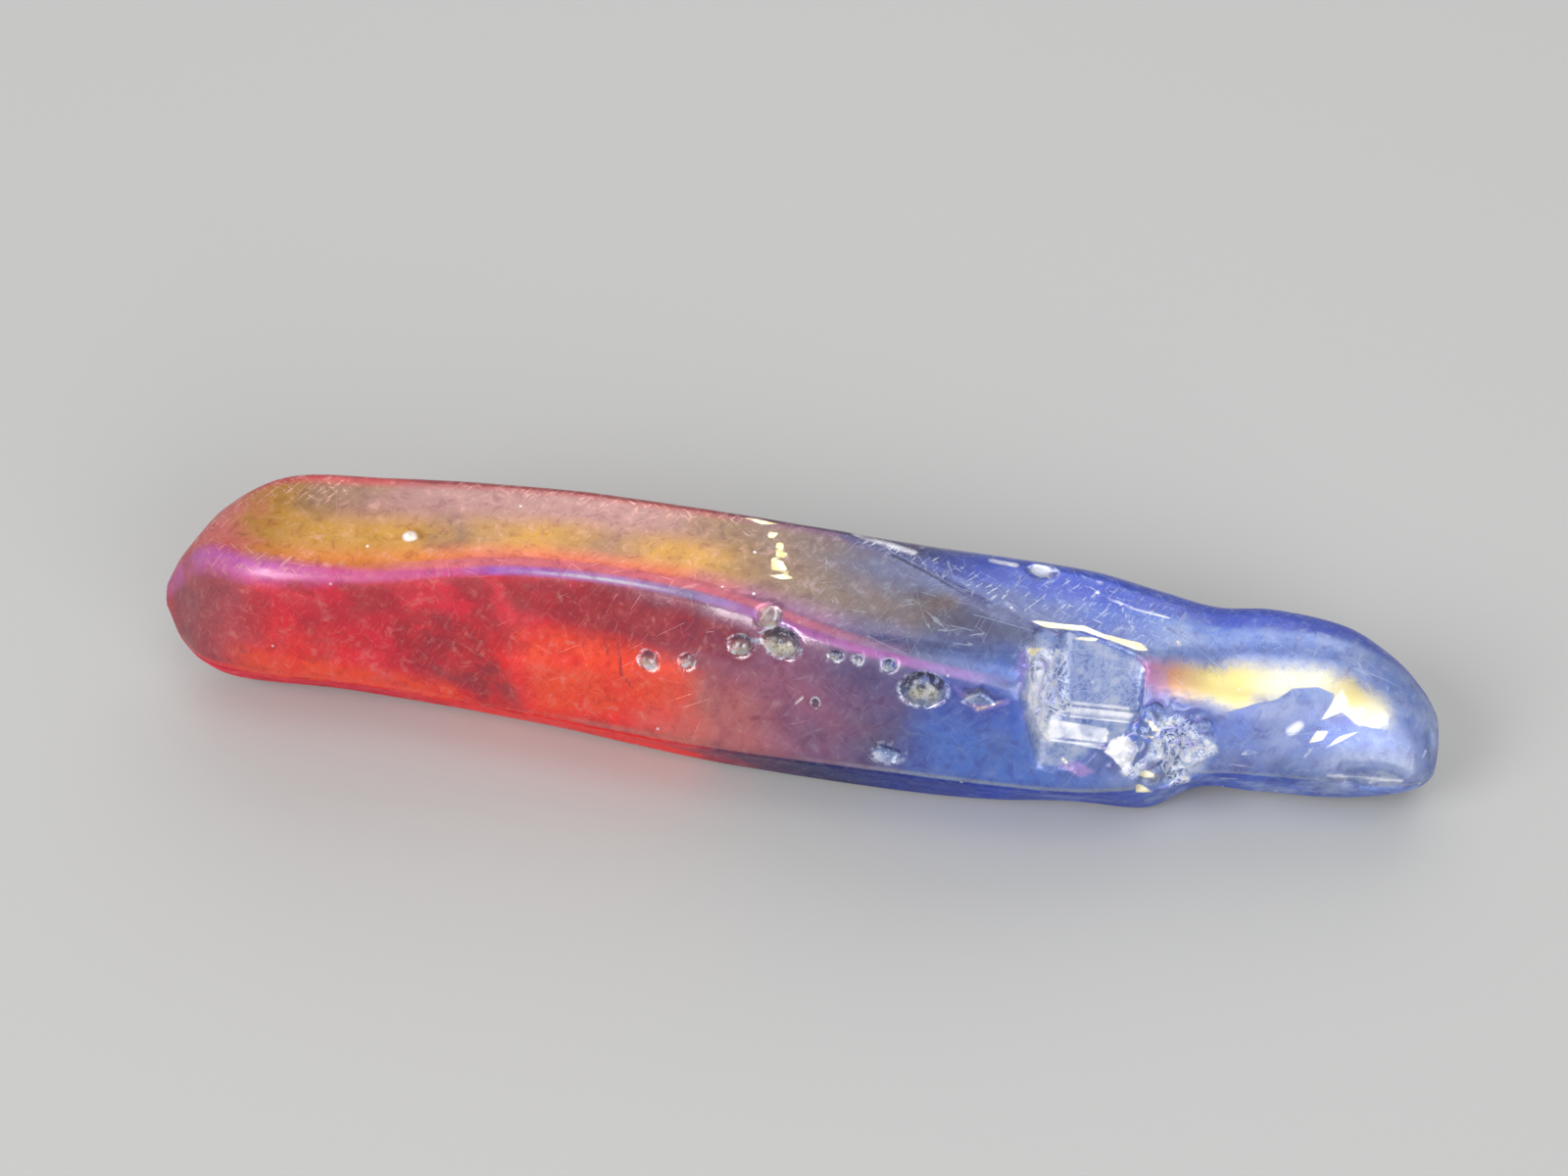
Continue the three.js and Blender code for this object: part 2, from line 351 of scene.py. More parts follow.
    def rings(self) -> np.ndarray:
        """The rounded cross-sections of the stone, from the tip to the root.

        Returns:
            For each ring and each point round it, the point's place in metres. A ring starts and ends under
            the stone, in the middle of the resting face.
        """
        count = round(self.length / self.ring_gap)
        x = np.linspace(self.stations[0], self.stations[-1], count + 1)
        corners = self.corners(x)
        rounds = np.array([edge.round for edge in self.edges])
        ends = []
        for neighbour in (1, -1):
            side = np.roll(corners, neighbour, axis=1) - corners
            share = np.minimum(self.most_round, rounds / np.linalg.norm(side, axis=2))
            ends.append(corners + side * share[..., None])
        start, end = ends
        following = np.roll(start, -1, axis=1)
        points = []
        for t in np.linspace(0, 1, self.corner_steps, endpoint=False):
            points.append((1 - t) ** 2 * start + 2 * t * (1 - t) * corners + t**2 * end)
        for t in np.linspace(0, 1, self.side_steps, endpoint=False):
            points.append((1 - t) * end + t * following)
        flat = np.stack(points, axis=2).reshape(len(x), -1, 2)
        flat = np.roll(flat, self.side_steps // 2, axis=1)
        flat = np.concatenate([flat, flat[:, :1]], axis=1)
        along = np.broadcast_to((x * self.length / 100)[:, None, None], flat.shape[:2] + (1,))
        return np.concatenate([along, flat], axis=2)

    def paces(self, rings: np.ndarray) -> tuple[np.ndarray, np.ndarray]:
        """Counts the points of the rings round the stone from the front crest.

        Args:
            rings: the cross-sections, as rings() gives them.

        Returns:
            The girth, which is 0 at the front crest, 1 at the back crest, 2 at the back belt, 3 at the back
            foot, -1 at the front belt and -2 at the front foot, and the way in metres from the front crest
            over the skin, minus towards the front.
        """
        steps = np.linalg.norm(np.diff(rings, axis=1), axis=2)
        walked = np.concatenate([np.zeros((len(rings), 1)), np.cumsum(steps, axis=1)], axis=1)
        gap = self.corner_steps + self.side_steps
        posts = np.arange(len(self.edges)) * gap + self.corner_steps // 2 + self.side_steps // 2
        way = walked - walked[:, posts[2], None]
        girth = np.empty_like(way)
        for ring, row in enumerate(way):
            at = row[posts]
            share = at[3] / at[4]
            girth[ring] = np.interp(row, [row[0], *at, row[-1]], [-3, -2, -1, 0, share, 1, 2, 3, 4])
        return girth, way


# ---------------------------------------------------------------- what the stone has lost


class Face(Enum):
    """The ways that the faces look."""

    TOP = (0.0, 0.0, 1.0)
    FRONT = (0.0, -0.9, 0.43)
    ROOT_CORNER = (0.83, -0.36, 0.42)

    @property
    def way(self) -> Vector:
        """The face's own direction, of length 1."""
        return Vector(self.value).normalized()


def laid_on(place: Vector, way: Vector, turn: float = 0.0) -> Matrix:
    """Takes a tool, made upright and turned in degrees, to a place on a face that looks that way."""
    tilt = Vector((0, 0, 1)).rotation_difference(way).to_matrix().to_4x4()
    return Matrix.Translation(place) @ tilt @ Matrix.Rotation(math.radians(turn), 4, "Z")


@dataclass(frozen=True)
class Pit:
    """A pit in the skin.

    Attributes:
        at: the middle of its mouth, in percentages.
        along: its half width along the stone, in metres.
        over: its half width the other way, in metres.
        deep: its depth in metres.
        face: the face that it is in.
        turn: its turn on that face, in degrees.
        gloom: how much painted shade darkens its inside; with none, it gets no painted glints either.
        round: the cutter's radius before it is sized, a little over 1 because its sides are flat.
        lumps: how far apart the lumps on its walls are, and how high, in metres.
        shell: how far off the face it still colours the skin, in metres.
    """

    at: Place
    along: float
    over: float
    deep: float
    face: Face
    turn: float = 0.0
    gloom: float = 0.6
    round: float = 1.06
    lumps: tuple[float, float] = (0.7 * MM, 0.48 * MM)
    shell: float = 1.2 * MM

    def setting(self, cage: Cage) -> Matrix:
        """Where the pit is: its middle, and its half widths and depth as the lengths of its axes."""
        size = Matrix.Diagonal((self.along, self.over, self.deep, 1))
        return laid_on(cage.place(*self.at), self.face.way, self.turn) @ size

    def reach(self, cage: Cage, points: np.ndarray) -> np.ndarray:
        """How far places are from the pit's middle, as shares of its half widths.

        Args:
            cage: the cage of the stone.
            points: places on the skin, one row each.

        Returns:
            0 at the middle and 1 at the mouth's rim, and far more away from the pit.
        """
        inward = np.array(self.setting(cage).inverted())
        local = points @ inward[:3, :3].T + inward[:3, 3]
        over_skin = np.abs(local[:, 2]) * self.deep > self.shell
        return np.hypot(local[:, 0], local[:, 1]) + np.where(over_skin, 100, 0)

    def cutter(self, cage: Cage) -> Piece:
        """Makes a lump, sunk to its middle in the face that it is in.

        Args:
            cage: the cage of the stone.

        Returns:
            A closed mesh.
        """
        bpy.ops.mesh.primitive_ico_sphere_add(subdivisions=2, radius=self.round)
        lump = newest("pit_cutter")
        lump.matrix_world = self.setting(cage)
        settle(lump)
        roughen(lump, Grain.CLOUDS, *self.lumps)
        return lump


@dataclass(frozen=True)
class Notch:
    """A notch with three flat sides: its place in percentages, and its half sizes in metres."""

    at: Place
    along: float
    over: float
    deep: float
    turn: float

    def cutter(self, cage: Cage) -> Piece:
        """Makes a three-sided spike that points into the stone.

        Args:
            cage: the cage of the stone.

        Returns:
            A closed mesh.
        """
        bpy.ops.mesh.primitive_cone_add(vertices=3, radius1=1, radius2=0, depth=2, rotation=(math.pi, 0, 0))
        spike = newest("notch_cutter")
        settle(spike)
        size = Matrix.Diagonal((self.along, self.over, self.deep, 1))
        spike.matrix_world = laid_on(cage.place(*self.at), Face.FRONT.way, self.turn) @ size
        settle(spike)
        return spike


@dataclass(frozen=True)
class SocketStep:
    """One step of the socket: its ends and its profile in percentages, and how far its walls lean out."""

    start: float
    end: float
    profile: tuple[tuple[float, float], ...]
    splay: tuple[float, float]
    slope_top: int = 2

    def cutter(self, cage: Cage) -> Piece:
        """Draws the profile out along the stone, with both walls leaning away.

        Args:
            cage: the cage of the stone.

        Returns:
            A closed mesh.
        """
        corners = [cage.place(0, across, up) for across, up in self.profile]
        start = cage.place(self.start, 0, 0).x
        end = cage.place(self.end, 0, 0).x
        bpy.ops.mesh.primitive_circle_add(vertices=len(corners), radius=1, fill_type="NGON")
        block = newest("socket_cutter")
        put_coordinates(block, np.array([(start, c.y, c.z) for c in corners]))
        with editing(block):
            bpy.ops.mesh.extrude_region_move(TRANSFORM_OT_translate={"value": (end - start, 0, 0)})
            bpy.ops.mesh.select_all(action="SELECT")
            bpy.ops.mesh.normals_make_consistent(inside=False)
        top = corners[self.slope_top]
        down = (corners[self.slope_top + 1] - top).normalized()
        points = coordinates(block)
        height = np.maximum(0, (points[:, 1] - top.y) * down.z - (points[:, 2] - top.z) * down.y)
        on_right = points[:, 0] > (start + end) / 2
        points[:, 0] += np.where(on_right, self.splay[1] * height, -self.splay[0] * height)
        put_coordinates(block, points)
        return block


@dataclass(frozen=True)
class Groove:
    """A groove: the places that it runs through, in percentages, its radius, and its ends' share of it."""

    along: Path
    radius: float
    end_share: float = 0.3

    def cutter(self, cage: Cage) -> Piece:
        """Lays a rod along the groove, half sunk in the skin.

        Args:
            cage: the cage of the stone.

        Returns:
            A closed mesh.
        """
        curve = bpy.data.curves.new("groove_cutter", "CURVE")
        curve.dimensions = "3D"
        spline = curve.splines.new("BEZIER")
        spline.bezier_points.add(len(self.along) - 1)
        for point, at in zip(spline.bezier_points, self.along):
            point.co = cage.place(*at)
            point.handle_left_type = "AUTO"
            point.handle_right_type = "AUTO"
        for point in (spline.bezier_points[0], spline.bezier_points[-1]):
            point.radius = self.end_share
        curve.bevel_depth = self.radius
        curve.use_fill_caps = True
        rod = bpy.data.objects.new("groove_cutter", curve)
        bpy.context.scene.collection.objects.link(rod)
        pick(rod)
        bpy.ops.object.convert(target="MESH")
        rod = bpy.context.active_object
        with editing(rod):
            bpy.ops.mesh.remove_doubles(threshold=0.001 * MM)
            bpy.ops.mesh.normals_make_consistent(inside=False)
        return rod


@dataclass(frozen=True)
class Flake:
    """A flat scar: a place on the skin in percentages, its depth in metres, and the way that it looks."""

    at: Place
    deep: float
    looks: Place
    reach: float = 2.2 * MM

    def cutter(self, cage: Cage) -> Piece:
        """Stands a five-sided slab on the scar.

        Args:
            cage: the cage of the stone.

        Returns:
            A closed mesh.
        """
        way = Vector(self.looks).normalized()
        bpy.ops.mesh.primitive_cylinder_add(vertices=5, radius=self.reach, depth=2 * MM)
        slab = newest("flake_cutter")
        slab.matrix_world = laid_on(cage.place(*self.at), way) @ Matrix.Translation((0, 0, MM - self.deep))
        settle(slab)
        return slab


# ---------------------------------------------------------------- marks on the skin


class Tone(Enum):
    """What a mark does to the coating where it lies."""

    # GLOW is a painted glow and SHINE a painted highlight, which DULL cuts off; WINE and INK are partly
    # painted shade and partly dark scratches, FROST partly painted glints, and CHIP marks are painted as
    # glints.
    GLOW = "glow"
    WINE = "wine"
    SHINE = "shine"
    DULL = "dull"
    CHIP = "chip"
    INK = "ink"
    FROST = "frost"
    BRONZE = "bronze"
    ORCHID = "orchid"
    SHATTER = "shatter"
    FLECK = "fleck"


@dataclass(frozen=True)
class Mark:
    """A patch or streak on the skin.

    Attributes:
        tone: what it does to the coating.
        places: the places that it runs through or its corners, in percentages.
        soft: how wide its soft edge is, in metres.
        strength: how much of the tone it gives.
    """

    tone: Tone
    places: Path
    soft: float
    strength: float

    def limited(self, level: np.ndarray) -> np.ndarray:
        """Holds a level between 1 below its soft edge and what its strength allows."""
        return np.clip(level, -1, 2 if self.strength >= 1 else self.strength)


@dataclass(frozen=True)
class Streak(Mark):
    """A line of an even half width in metres. With one place it is a round patch."""

    width: float

    def level(self, cage: Cage, points: np.ndarray) -> np.ndarray:
        """How far inside the mark's soft edge each place is.

        Args:
            cage: the cage of the stone.
            points: places on the skin, one row each.

        Returns:
            0 at the soft edge's outside and 1 at its inside, going on past both.
        """
        path = np.array([cage.place(*at) for at in self.places])
        gap = np.linalg.norm(points - path[0], axis=1)
        for first, last in zip(path[:-1], path[1:]):
            gap = np.minimum(gap, gaps(points, first, last))
        return self.limited((self.width + self.soft - gap) / self.soft)


@dataclass(frozen=True)
class Shard(Mark):
    """A patch with straight sides, which reaches a thickness in metres off its own plane."""

    thickness: float

    def level(self, cage: Cage, points: np.ndarray) -> np.ndarray:
        """How far inside the mark's soft edge each place is.

        Args:
            cage: the cage of the stone.
            points: places on the skin, one row each.

        Returns:
            0 at the soft edge's outside and 1 at its inside, going on past both.
        """
        corners = np.array([cage.place(*at) for at in self.places])
        middle = corners.mean(axis=0)
        axes = np.linalg.svd(corners - middle)[2]
        flat = (points - middle) @ axes.T
        outline = (corners - middle) @ axes[:2].T
        gap = np.full(len(points), 1.0)
        inside = np.zeros(len(points), bool)
        for a, b in zip(outline, np.roll(outline, -1, axis=0)):
            gap = np.minimum(gap, gaps(flat[:, :2], a, b))
            between = (a[1] > flat[:, 1]) != (b[1] > flat[:, 1])
            run, rise = b - a
            inside ^= between & (flat[:, 0] < a[0] + (flat[:, 1] - a[1]) * run / (rise or 1))
        level = np.where(inside, gap, -gap) / self.soft + 0.5
        return self.limited(np.where(np.abs(flat[:, 2]) < self.thickness, level, -1))


def streaks(tone: Tone, width: float, soft: float, strength: float, *paths: Path) -> tuple[Streak, ...]:
    """Streaks of one kind, one along each path. The half width and the soft edge are in millimetres."""
    return tuple(Streak(tone, path, soft * MM, strength, width * MM) for path in paths)


def shards(tone: Tone, soft: float, thick: float, strength: float, *outlines: Path) -> tuple[Shard, ...]:
    """Shards of one kind, one inside each outline. The soft edge and the thickness are in millimetres."""
    return tuple(Shard(tone, outline, soft * MM, strength, thick * MM) for outline in outlines)


RED_END = (
    # painted glow: the fiery patches where light comes through the front face, and streaks along its lower
    # edge
    *shards(Tone.GLOW, 1.5, 3, 1,
        ((-20.5, -24, 71), (-17.8, -22, 75), (-12, -24, 73), (-8, -27, 70), (-6, -31, 66), (-7, -38, 52),
        (-12, -39, 45), (-18, -37, 37), (-19, -32, 50))),
    *streaks(Tone.GLOW, 0.5, 0.9, 1, ((-17, -26, 66), (-13.5, -29, 60), (-9, -33, 60))),
    *streaks(Tone.GLOW, 0.4, 1.3, 0.9, ((-42, -26, 42), (-36, -31, 41))),
    *streaks(Tone.GLOW, 0.3, 1.1, 0.8, ((-36, -31, 41), (-26, -35, 40))),
    # painted shade: the plum patches, for the dark reflections inside the front face
    *shards(Tone.WINE, 1.1, 3, 1,
        ((-30, -24, 74), (-27, -21, 80), (-24, -22, 76), (-22.4, -26, 64), (-20.8, -31, 53),
        (-19.7, -36, 38), (-22.5, -34, 34), (-25, -32, 44), (-28, -31, 47), (-30, -28, 57))),
    *streaks(Tone.WINE, 0.6, 1.6, 0.5, ((-35, -24, 70), (-29, -25, 68))),
    *streaks(Tone.WINE, 0.4, 1.4, 0.35, ((-40, -24, 66), (-36, -27, 58))),
    *streaks(Tone.WINE, 0.1, 0.7, 0.9, ((-29, -26, 65), (-25, -28, 60))),
    *streaks(Tone.WINE, 0.3, 0.9, 0.4, ((-39, -24, 76), (-34, -22, 76), (-30, -21, 78))),
    *streaks(Tone.WINE, 0.55, 0.8, 0.8, ((-20, -17, 88), (-12, -20, 85), (-6, -23, 83), (-3, -25, 80))),
    # dark scratches and the small red chip
    *streaks(Tone.WINE, 0.05, 0.12, 0.9,
        ((-13.4, -23, 73), (-13.2, -26, 68)), ((-11.6, -32, 59), (-11.1, -33, 56))),
    *streaks(Tone.WINE, 0.04, 0.12, 0.9, ((-12.4, -24, 73), (-12, -31, 60))),
    *streaks(Tone.WINE, 0.04, 0.2, 0.5, ((-1.8, -40, 53), (0.7, -40, 55))),
    *streaks(Tone.FROST, 0.03, 0.1, 0.9, ((1.5, -38, 63), (2.1, -37, 67))),
    *shards(Tone.WINE, 0.1, 0.9, 1, ((2.8, -36, 66), (3.5, -38, 65), (3.1, -39, 62))),
    # pale flecks where the tip has rubbed
    *streaks(Tone.FLECK, 0.6, 1.2, 0.9, ((-46, 6, 80), (-43, 16, 88), (-39.5, 24, 96), (-36, 22, 99))),
    *streaks(Tone.FLECK, 0.4, 1, 0.8, ((-45, -8, 86), (-41, -15, 91), (-37, -16, 92))),
    *streaks(Tone.FLECK, 0.3, 0.8, 0.6, ((-27, 33, 97), (-14, 30, 98), (-5, 29, 98))),
)
UPPER_FACE = (
    *shards(Tone.BRONZE, 1, 0.9, 1, ((8.8, -5, 96), (12.4, -1, 97), (13.1, -8, 96), (9.5, -13, 95))),
    # painted shade in the two grooves
    *streaks(Tone.INK, 0.12, 0.3, 0.9, ((3.5, 24, 98), (8.2, 16, 97), (11.3, 7, 96))),
    *streaks(Tone.INK, 0.18, 0.4, 0.9, ((11.3, 7, 96), (15.2, -4, 95), (18.3, -11, 93))),
    *streaks(Tone.INK, 0.1, 0.3, 0.9, ((7, -24, 95), (14.3, -25, 94))),
    *streaks(Tone.FLECK, 0.3, 0.6, 1, ((4, 27, 98), (9.7, 19, 97), (13.1, 12, 96))),
    *streaks(Tone.FROST, 0.05, 0.35, 0.6, ((4.5, 26, 98), (9, 20, 97))),
    *streaks(Tone.FLECK, 0.3, 0.9, 0.8, ((13.1, 12, 96), (16.6, 2, 94), (19, 2, 92))),
    *streaks(Tone.FLECK, 0.8, 1.5, 0.6, ((21, 10, 88), (27, 8, 82))),
    *streaks(Tone.FROST, 0.1, 0.25, 0.7, ((15, 24, 92), (16.8, 24, 90))),
    *streaks(Tone.FLECK, 0.7, 0.3, 1, ((18.8, 24, 87),)),
    *streaks(Tone.FROST, 0.3, 0.5, 0.6, ((18.8, 24, 87),)),
    *streaks(Tone.FROST, 0.03, 0.13, 1, ((24, 15, 85), (26.2, 13, 82), (28.8, 13, 79))),
    *streaks(Tone.FROST, 0.01, 0.11, 0.6, ((25, 13, 84), (25.9, 3, 83), (27, -6, 82))),
    *streaks(Tone.FROST, 0.05, 0.1, 1, ((23.1, 23, 85), (23.5, 23, 85))),
    *streaks(Tone.FROST, 0.08, 0.12, 1, ((23.2, 17, 86),)),
    *streaks(Tone.FROST, 0.3, 0.25, 1, ((-29.3, 1, 97),)),
    # the line of chips over the stone's middle, painted bright as glints
    *shards(Tone.CHIP, 0.12, 0.9, 1,
        ((-4.4, 28, 99), (-3.2, 28, 99), (-1.3, 26, 99), (-2.8, 25, 100)), ((-2.2, 21, 99), (-1.4, 21, 99),
        (-1.6, 18, 99), (-2.1, 18, 99)), ((-1.4, 16, 99), (-0.9, 16, 99), (-0.7, 12, 99), (-1.4, 13, 99)),
        ((-1.4, 12, 99), (-0.4, 11, 99), (-0.5, 9, 98), (-1.2, 9, 98)), ((-1.6, 8, 98), (-0.7, 7, 98),
        (-0.1, 2, 98), (-1.4, 2, 98)), ((-1.6, -1, 97), (-0.2, 1, 97), (0.4, -1, 97), (-0.6, -2, 97))),
    # the broken triangle on the crest, and the pink one down the line
    *shards(Tone.BRONZE, 0.15, 0.9, 1, ((-2, -22, 90), (-1, -15, 95), (0.1, -18, 95), (-0.2, -21, 91))),
    *streaks(Tone.FROST, 0.01, 0.12, 0.7, ((-2.1, -22, 90), (-1, -15, 95), (0.6, -18, 95))),
    *shards(Tone.ORCHID, 0.15, 0.9, 1, ((7.4, -30, 91), (8.9, -31, 88), (7.8, -33, 85))),
    # painted shade in the notch beyond the big pit, and a painted glint and a pink edge on its rim
    *shards(Tone.INK, 0.2, 1.5, 0.9, ((13.7, -36, 84), (16.9, -38, 80), (15.1, -39, 75))),
    *streaks(Tone.CHIP, 0.01, 0.14, 0.8, ((13.7, -36, 83), (15.1, -40, 74), (16.9, -38, 79))),
    *streaks(Tone.ORCHID, 0.05, 0.25, 0.8, ((13.3, -36, 83), (15.1, -40, 74), (17.2, -38, 79))),
)
SOCKET_MARKS = (
    # the lip and the chips round the mouth, painted bright as glints
    *shards(Tone.CHIP, 0.1, 0.9, 1,
        ((18.2, -7, 93), (20.7, -5, 90), (22.4, -3, 88), (23.8, -5, 86), (26.7, -5, 83), (27.4, -8, 82),
        (26.4, -9, 83), (23.6, -7, 87), (22.3, -6, 88), (19.4, -9, 92)), ((21.5, -9, 86), (22.3, -8, 87),
        (23.5, -8, 87), (23.3, -9, 86)), ((27.3, -27, 63), (28, -27, 60), (28.6, -28, 55), (28.1, -29, 57)),
        ((27.6, -31, 58), (28.4, -30, 54), (28.2, -31, 54), (27.7, -31, 56)), ((27.3, -40, 42),
        (28, -38, 42), (29, -36, 37), (28, -39, 38)), ((27.3, -42, 38), (27.8, -40, 35), (28.8, -38, 28),
        (27.4, -42, 32))),
    *shards(Tone.CHIP, 0.15, 0.9, 1,
        ((18.2, -20, 91), (19.6, -16, 88), (18.7, -22, 88)), ((29.2, 2, 79), (29.8, 0, 79), (29.6, -2, 79))),
    # the ledges, with painted highlights where they catch the light, and the painted flash on their right
    *streaks(Tone.FROST, 0.02, 0.12, 0.7, ((22, -25, 65), (26.2, -25, 65))),
    *streaks(Tone.FROST, 0.12, 0.15, 1, ((21.8, -28, 65), (26.4, -28, 65))),
    *streaks(Tone.FROST, 0.04, 0.1, 0.8, ((22, -31, 64), (26.4, -31, 64))),
    *streaks(Tone.FROST, 0.2, 0.12, 1, ((20.8, -33, 60), (24.6, -34, 59))),
    *streaks(Tone.FROST, 0.18, 0.12, 1, ((20.7, -36, 59), (24.6, -37, 59))),
    *streaks(Tone.FROST, 0.06, 0.1, 0.9, ((20.6, -39, 58), (24.4, -40, 57))),
    *shards(Tone.FROST, 0.15, 1.5, 1,
        ((25.1, -36, 58), (26.3, -34, 59), (27.2, -35, 53), (26.8, -39, 46), (26.3, -41, 44),
        (25.5, -40, 50), (24.6, -40, 55))),
    *streaks(Tone.FROST, 0.2, 0.9, 0.45, ((19.2, -20, 88), (19.2, -30, 80), (19.8, -35, 66))),
    *shards(Tone.SHATTER, 0.3, 2.2, 1,
        ((18.3, -20, 91), (21.4, -12, 84), (22.2, -27, 65), (21.2, -31, 61), (20.6, -40, 56),
        (18.6, -35, 77))),
    *streaks(Tone.FLECK, 0.2, 0.8, 0.5, ((24.5, -13, 84), (24.6, -20, 76), (23.5, -28, 65))),
    # painted shade in the creases between the ledges and down the mouth's right side
    *streaks(Tone.INK, 0.02, 0.1, 0.5,
        ((21.2, -32, 61), (24.8, -33, 60)), ((20.8, -35, 59), (24.6, -36, 59)), ((20.7, -38, 58),
        (24.5, -38, 58))),
    *streaks(Tone.INK, 0.12, 0.35, 0.5, ((26.7, -10, 84), (26.9, -20, 72), (26.6, -29, 65))),
    # violet and orange on the mouth's worn rim
    *streaks(Tone.ORCHID, 0.1, 0.5, 0.7,
        ((18.2, -24, 91), (18, -32, 84), (18.9, -38, 70)), ((19, -38, 68), (20.4, -42, 56))),
    *shards(Tone.ORCHID, 0.3, 0.9, 1,
        ((21, -42, 52), (22.2, -42, 52), (24.2, -44, 46), (23.2, -46, 44), (21, -44, 49))),
    *streaks(Tone.CHIP, 0.02, 0.15, 0.9, ((21.7, -43, 51), (22, -44, 50))),
    *streaks(Tone.CHIP, 0.04, 0.15, 0.8, ((22.7, -45, 46),)),
    *streaks(Tone.ORCHID, 0.2, 0.6, 0.9, ((27.9, -13, 79), (28.3, -18, 74), (28, -23, 67))),
    # broken ground, and steps to its right
    *shards(Tone.SHATTER, 0.35, 2, 1,
        ((28.5, -24, 61), (29.6, -20, 60), (30.8, -22, 58), (31.9, -21, 48), (33, -23, 45), (33.2, -25, 42),
        (32.1, -27, 37), (30.9, -28, 33), (31.3, -27, 24), (29.9, -34, 28), (29, -34, 41), (28, -36, 50))),
    *streaks(Tone.SHATTER, 0.2, 0.4, 1, ((26.6, -40, 44), (27.6, -39, 44))),
    *streaks(Tone.FROST, 0.01, 0.12, 0.7, ((30.7, -18, 68), (32.1, -19, 57), (33.4, -23, 46))),
    *streaks(Tone.FROST, 0.01, 0.1, 0.9,
        ((35.1, -25, 42), (35.5, -24, 44), (36.3, -24, 43)), ((35.2, -25, 42), (36.4, -24, 41)),
        ((34.3, -27, 37), (36.8, -26, 36))),
    *streaks(Tone.FROST, 0.01, 0.12, 0.9, ((33.8, -26, 25), (35, -26, 26))),
)
LOBE = (
    # painted highlight: the bright sweep over the lobe, which the dull shards cut off
    *streaks(Tone.SHINE, 0.1, 1.2, 0.6, ((27.2, -16, 77), (30.5, -14, 73))),
    *streaks(Tone.SHINE, 0.2, 1.4, 0.9, ((29.5, -14, 73), (32.4, -12, 70), (34.5, -14, 67))),
    *streaks(Tone.SHINE, 0.2, 1.6, 1, ((34, -10, 70), (37.5, -8, 69), (40.5, -6, 68))),
    *streaks(Tone.SHINE, 0.2, 1.4, 0.85, ((42, -6, 65), (44.6, -9, 57))),
    *shards(Tone.DULL, 0.12, 1.6, 1,
        ((33.4, -18, 60), (35.7, -15, 64), (37.1, -13, 65), (38.3, -9, 68), (40.2, -7, 68), (41.4, -6, 64),
        (40.5, -14, 54), (39.4, -19, 50), (36.4, -23, 47))),
    *shards(Tone.DULL, 0.12, 1.4, 1,
        ((41.4, -13, 56), (42.4, -11, 57), (43.2, -13, 54), (44.5, -12, 52), (46.6, -11, 50), (46, -18, 42),
        (41, -18, 46))),
    # chips painted as yellow-white glints
    *shards(Tone.CHIP, 0.12, 0.9, 1,
        ((42, -4, 65), (40.6, -14, 55), (42, -11, 58), (42.6, -8, 61)), ((42.3, -8, 61), (44, -8, 60),
        (43.6, -13, 53), (42.2, -10, 58))),
    *shards(Tone.CHIP, 0.1, 0.9, 1,
        ((39.9, -20, 47), (40.4, -17, 52), (41.3, -16, 52), (41, -19, 49)), ((41.2, -20, 45),
        (42.1, -17, 50), (43.6, -14, 52), (42.6, -17, 49))),
    # patches of painted shade under the sweep and beside the broken ground
    *shards(Tone.INK, 0.2, 1.2, 0.35, ((36.8, -26, 40), (38.5, -24, 40), (43, -27, 24), (38, -27, 24))),
    *shards(Tone.INK, 0.15, 1.2, 0.4,
        ((41.4, -25, 35), (44.4, -24, 33), (47.6, -22, 31), (46, -24, 27), (41.8, -26, 30))),
    *shards(Tone.INK, 0.2, 1.2, 0.4,
        ((29.3, -18, 64), (30.4, -18, 69), (31.6, -18, 66), (33.2, -19, 60), (33.4, -18, 57),
        (31.5, -19, 56))),
    # white streaks, and dark scratches
    *streaks(Tone.FROST, 0.02, 0.14, 1, ((39.7, -23, 41), (40.2, -21, 45))),
    *streaks(Tone.FROST, 0.15, 0.3, 0.8, ((38.5, -19, 53), (39, -17, 55))),
    *streaks(Tone.FROST, 0.01, 0.2, 0.6, ((41.7, -25, 34), (44.4, -24, 32), (47.3, -22, 31))),
    *streaks(Tone.FROST, 0.02, 0.12, 0.9,
        ((43, -25, 30), (44.2, -25, 29)), ((45, -24, 29), (46.6, -24, 28))),
    *streaks(Tone.FROST, 0.03, 0.12, 0.8, ((47.9, -14, 43), (47.9, -19, 36))),
    *streaks(Tone.FROST, 0.02, 0.12, 0.6, ((48.6, -15, 38), (48.9, -13, 41))),
    *streaks(Tone.FROST, 0.06, 0.12, 1, ((45.4, -19, 42),)),
    *streaks(Tone.INK, 0.01, 0.13, 0.6, ((42.1, -2, 68), (45.1, -4, 62))),
    *streaks(Tone.INK, 0.1, 0.2, 0.5, ((39.6, -3, 70), (41.2, -3, 69))),
    *streaks(Tone.INK, 0.01, 0.1, 0.5, ((35.5, -5, 72), (35.9, -8, 70)), ((32.4, -8, 72), (34, -12, 68))),
    *streaks(Tone.INK, 0.01, 0.1, 0.6, ((37.2, -5, 71), (39.8, -6, 68))),
)
MARKS = RED_END + UPPER_FACE + SOCKET_MARKS + LOBE


# ---------------------------------------------------------------- the stone


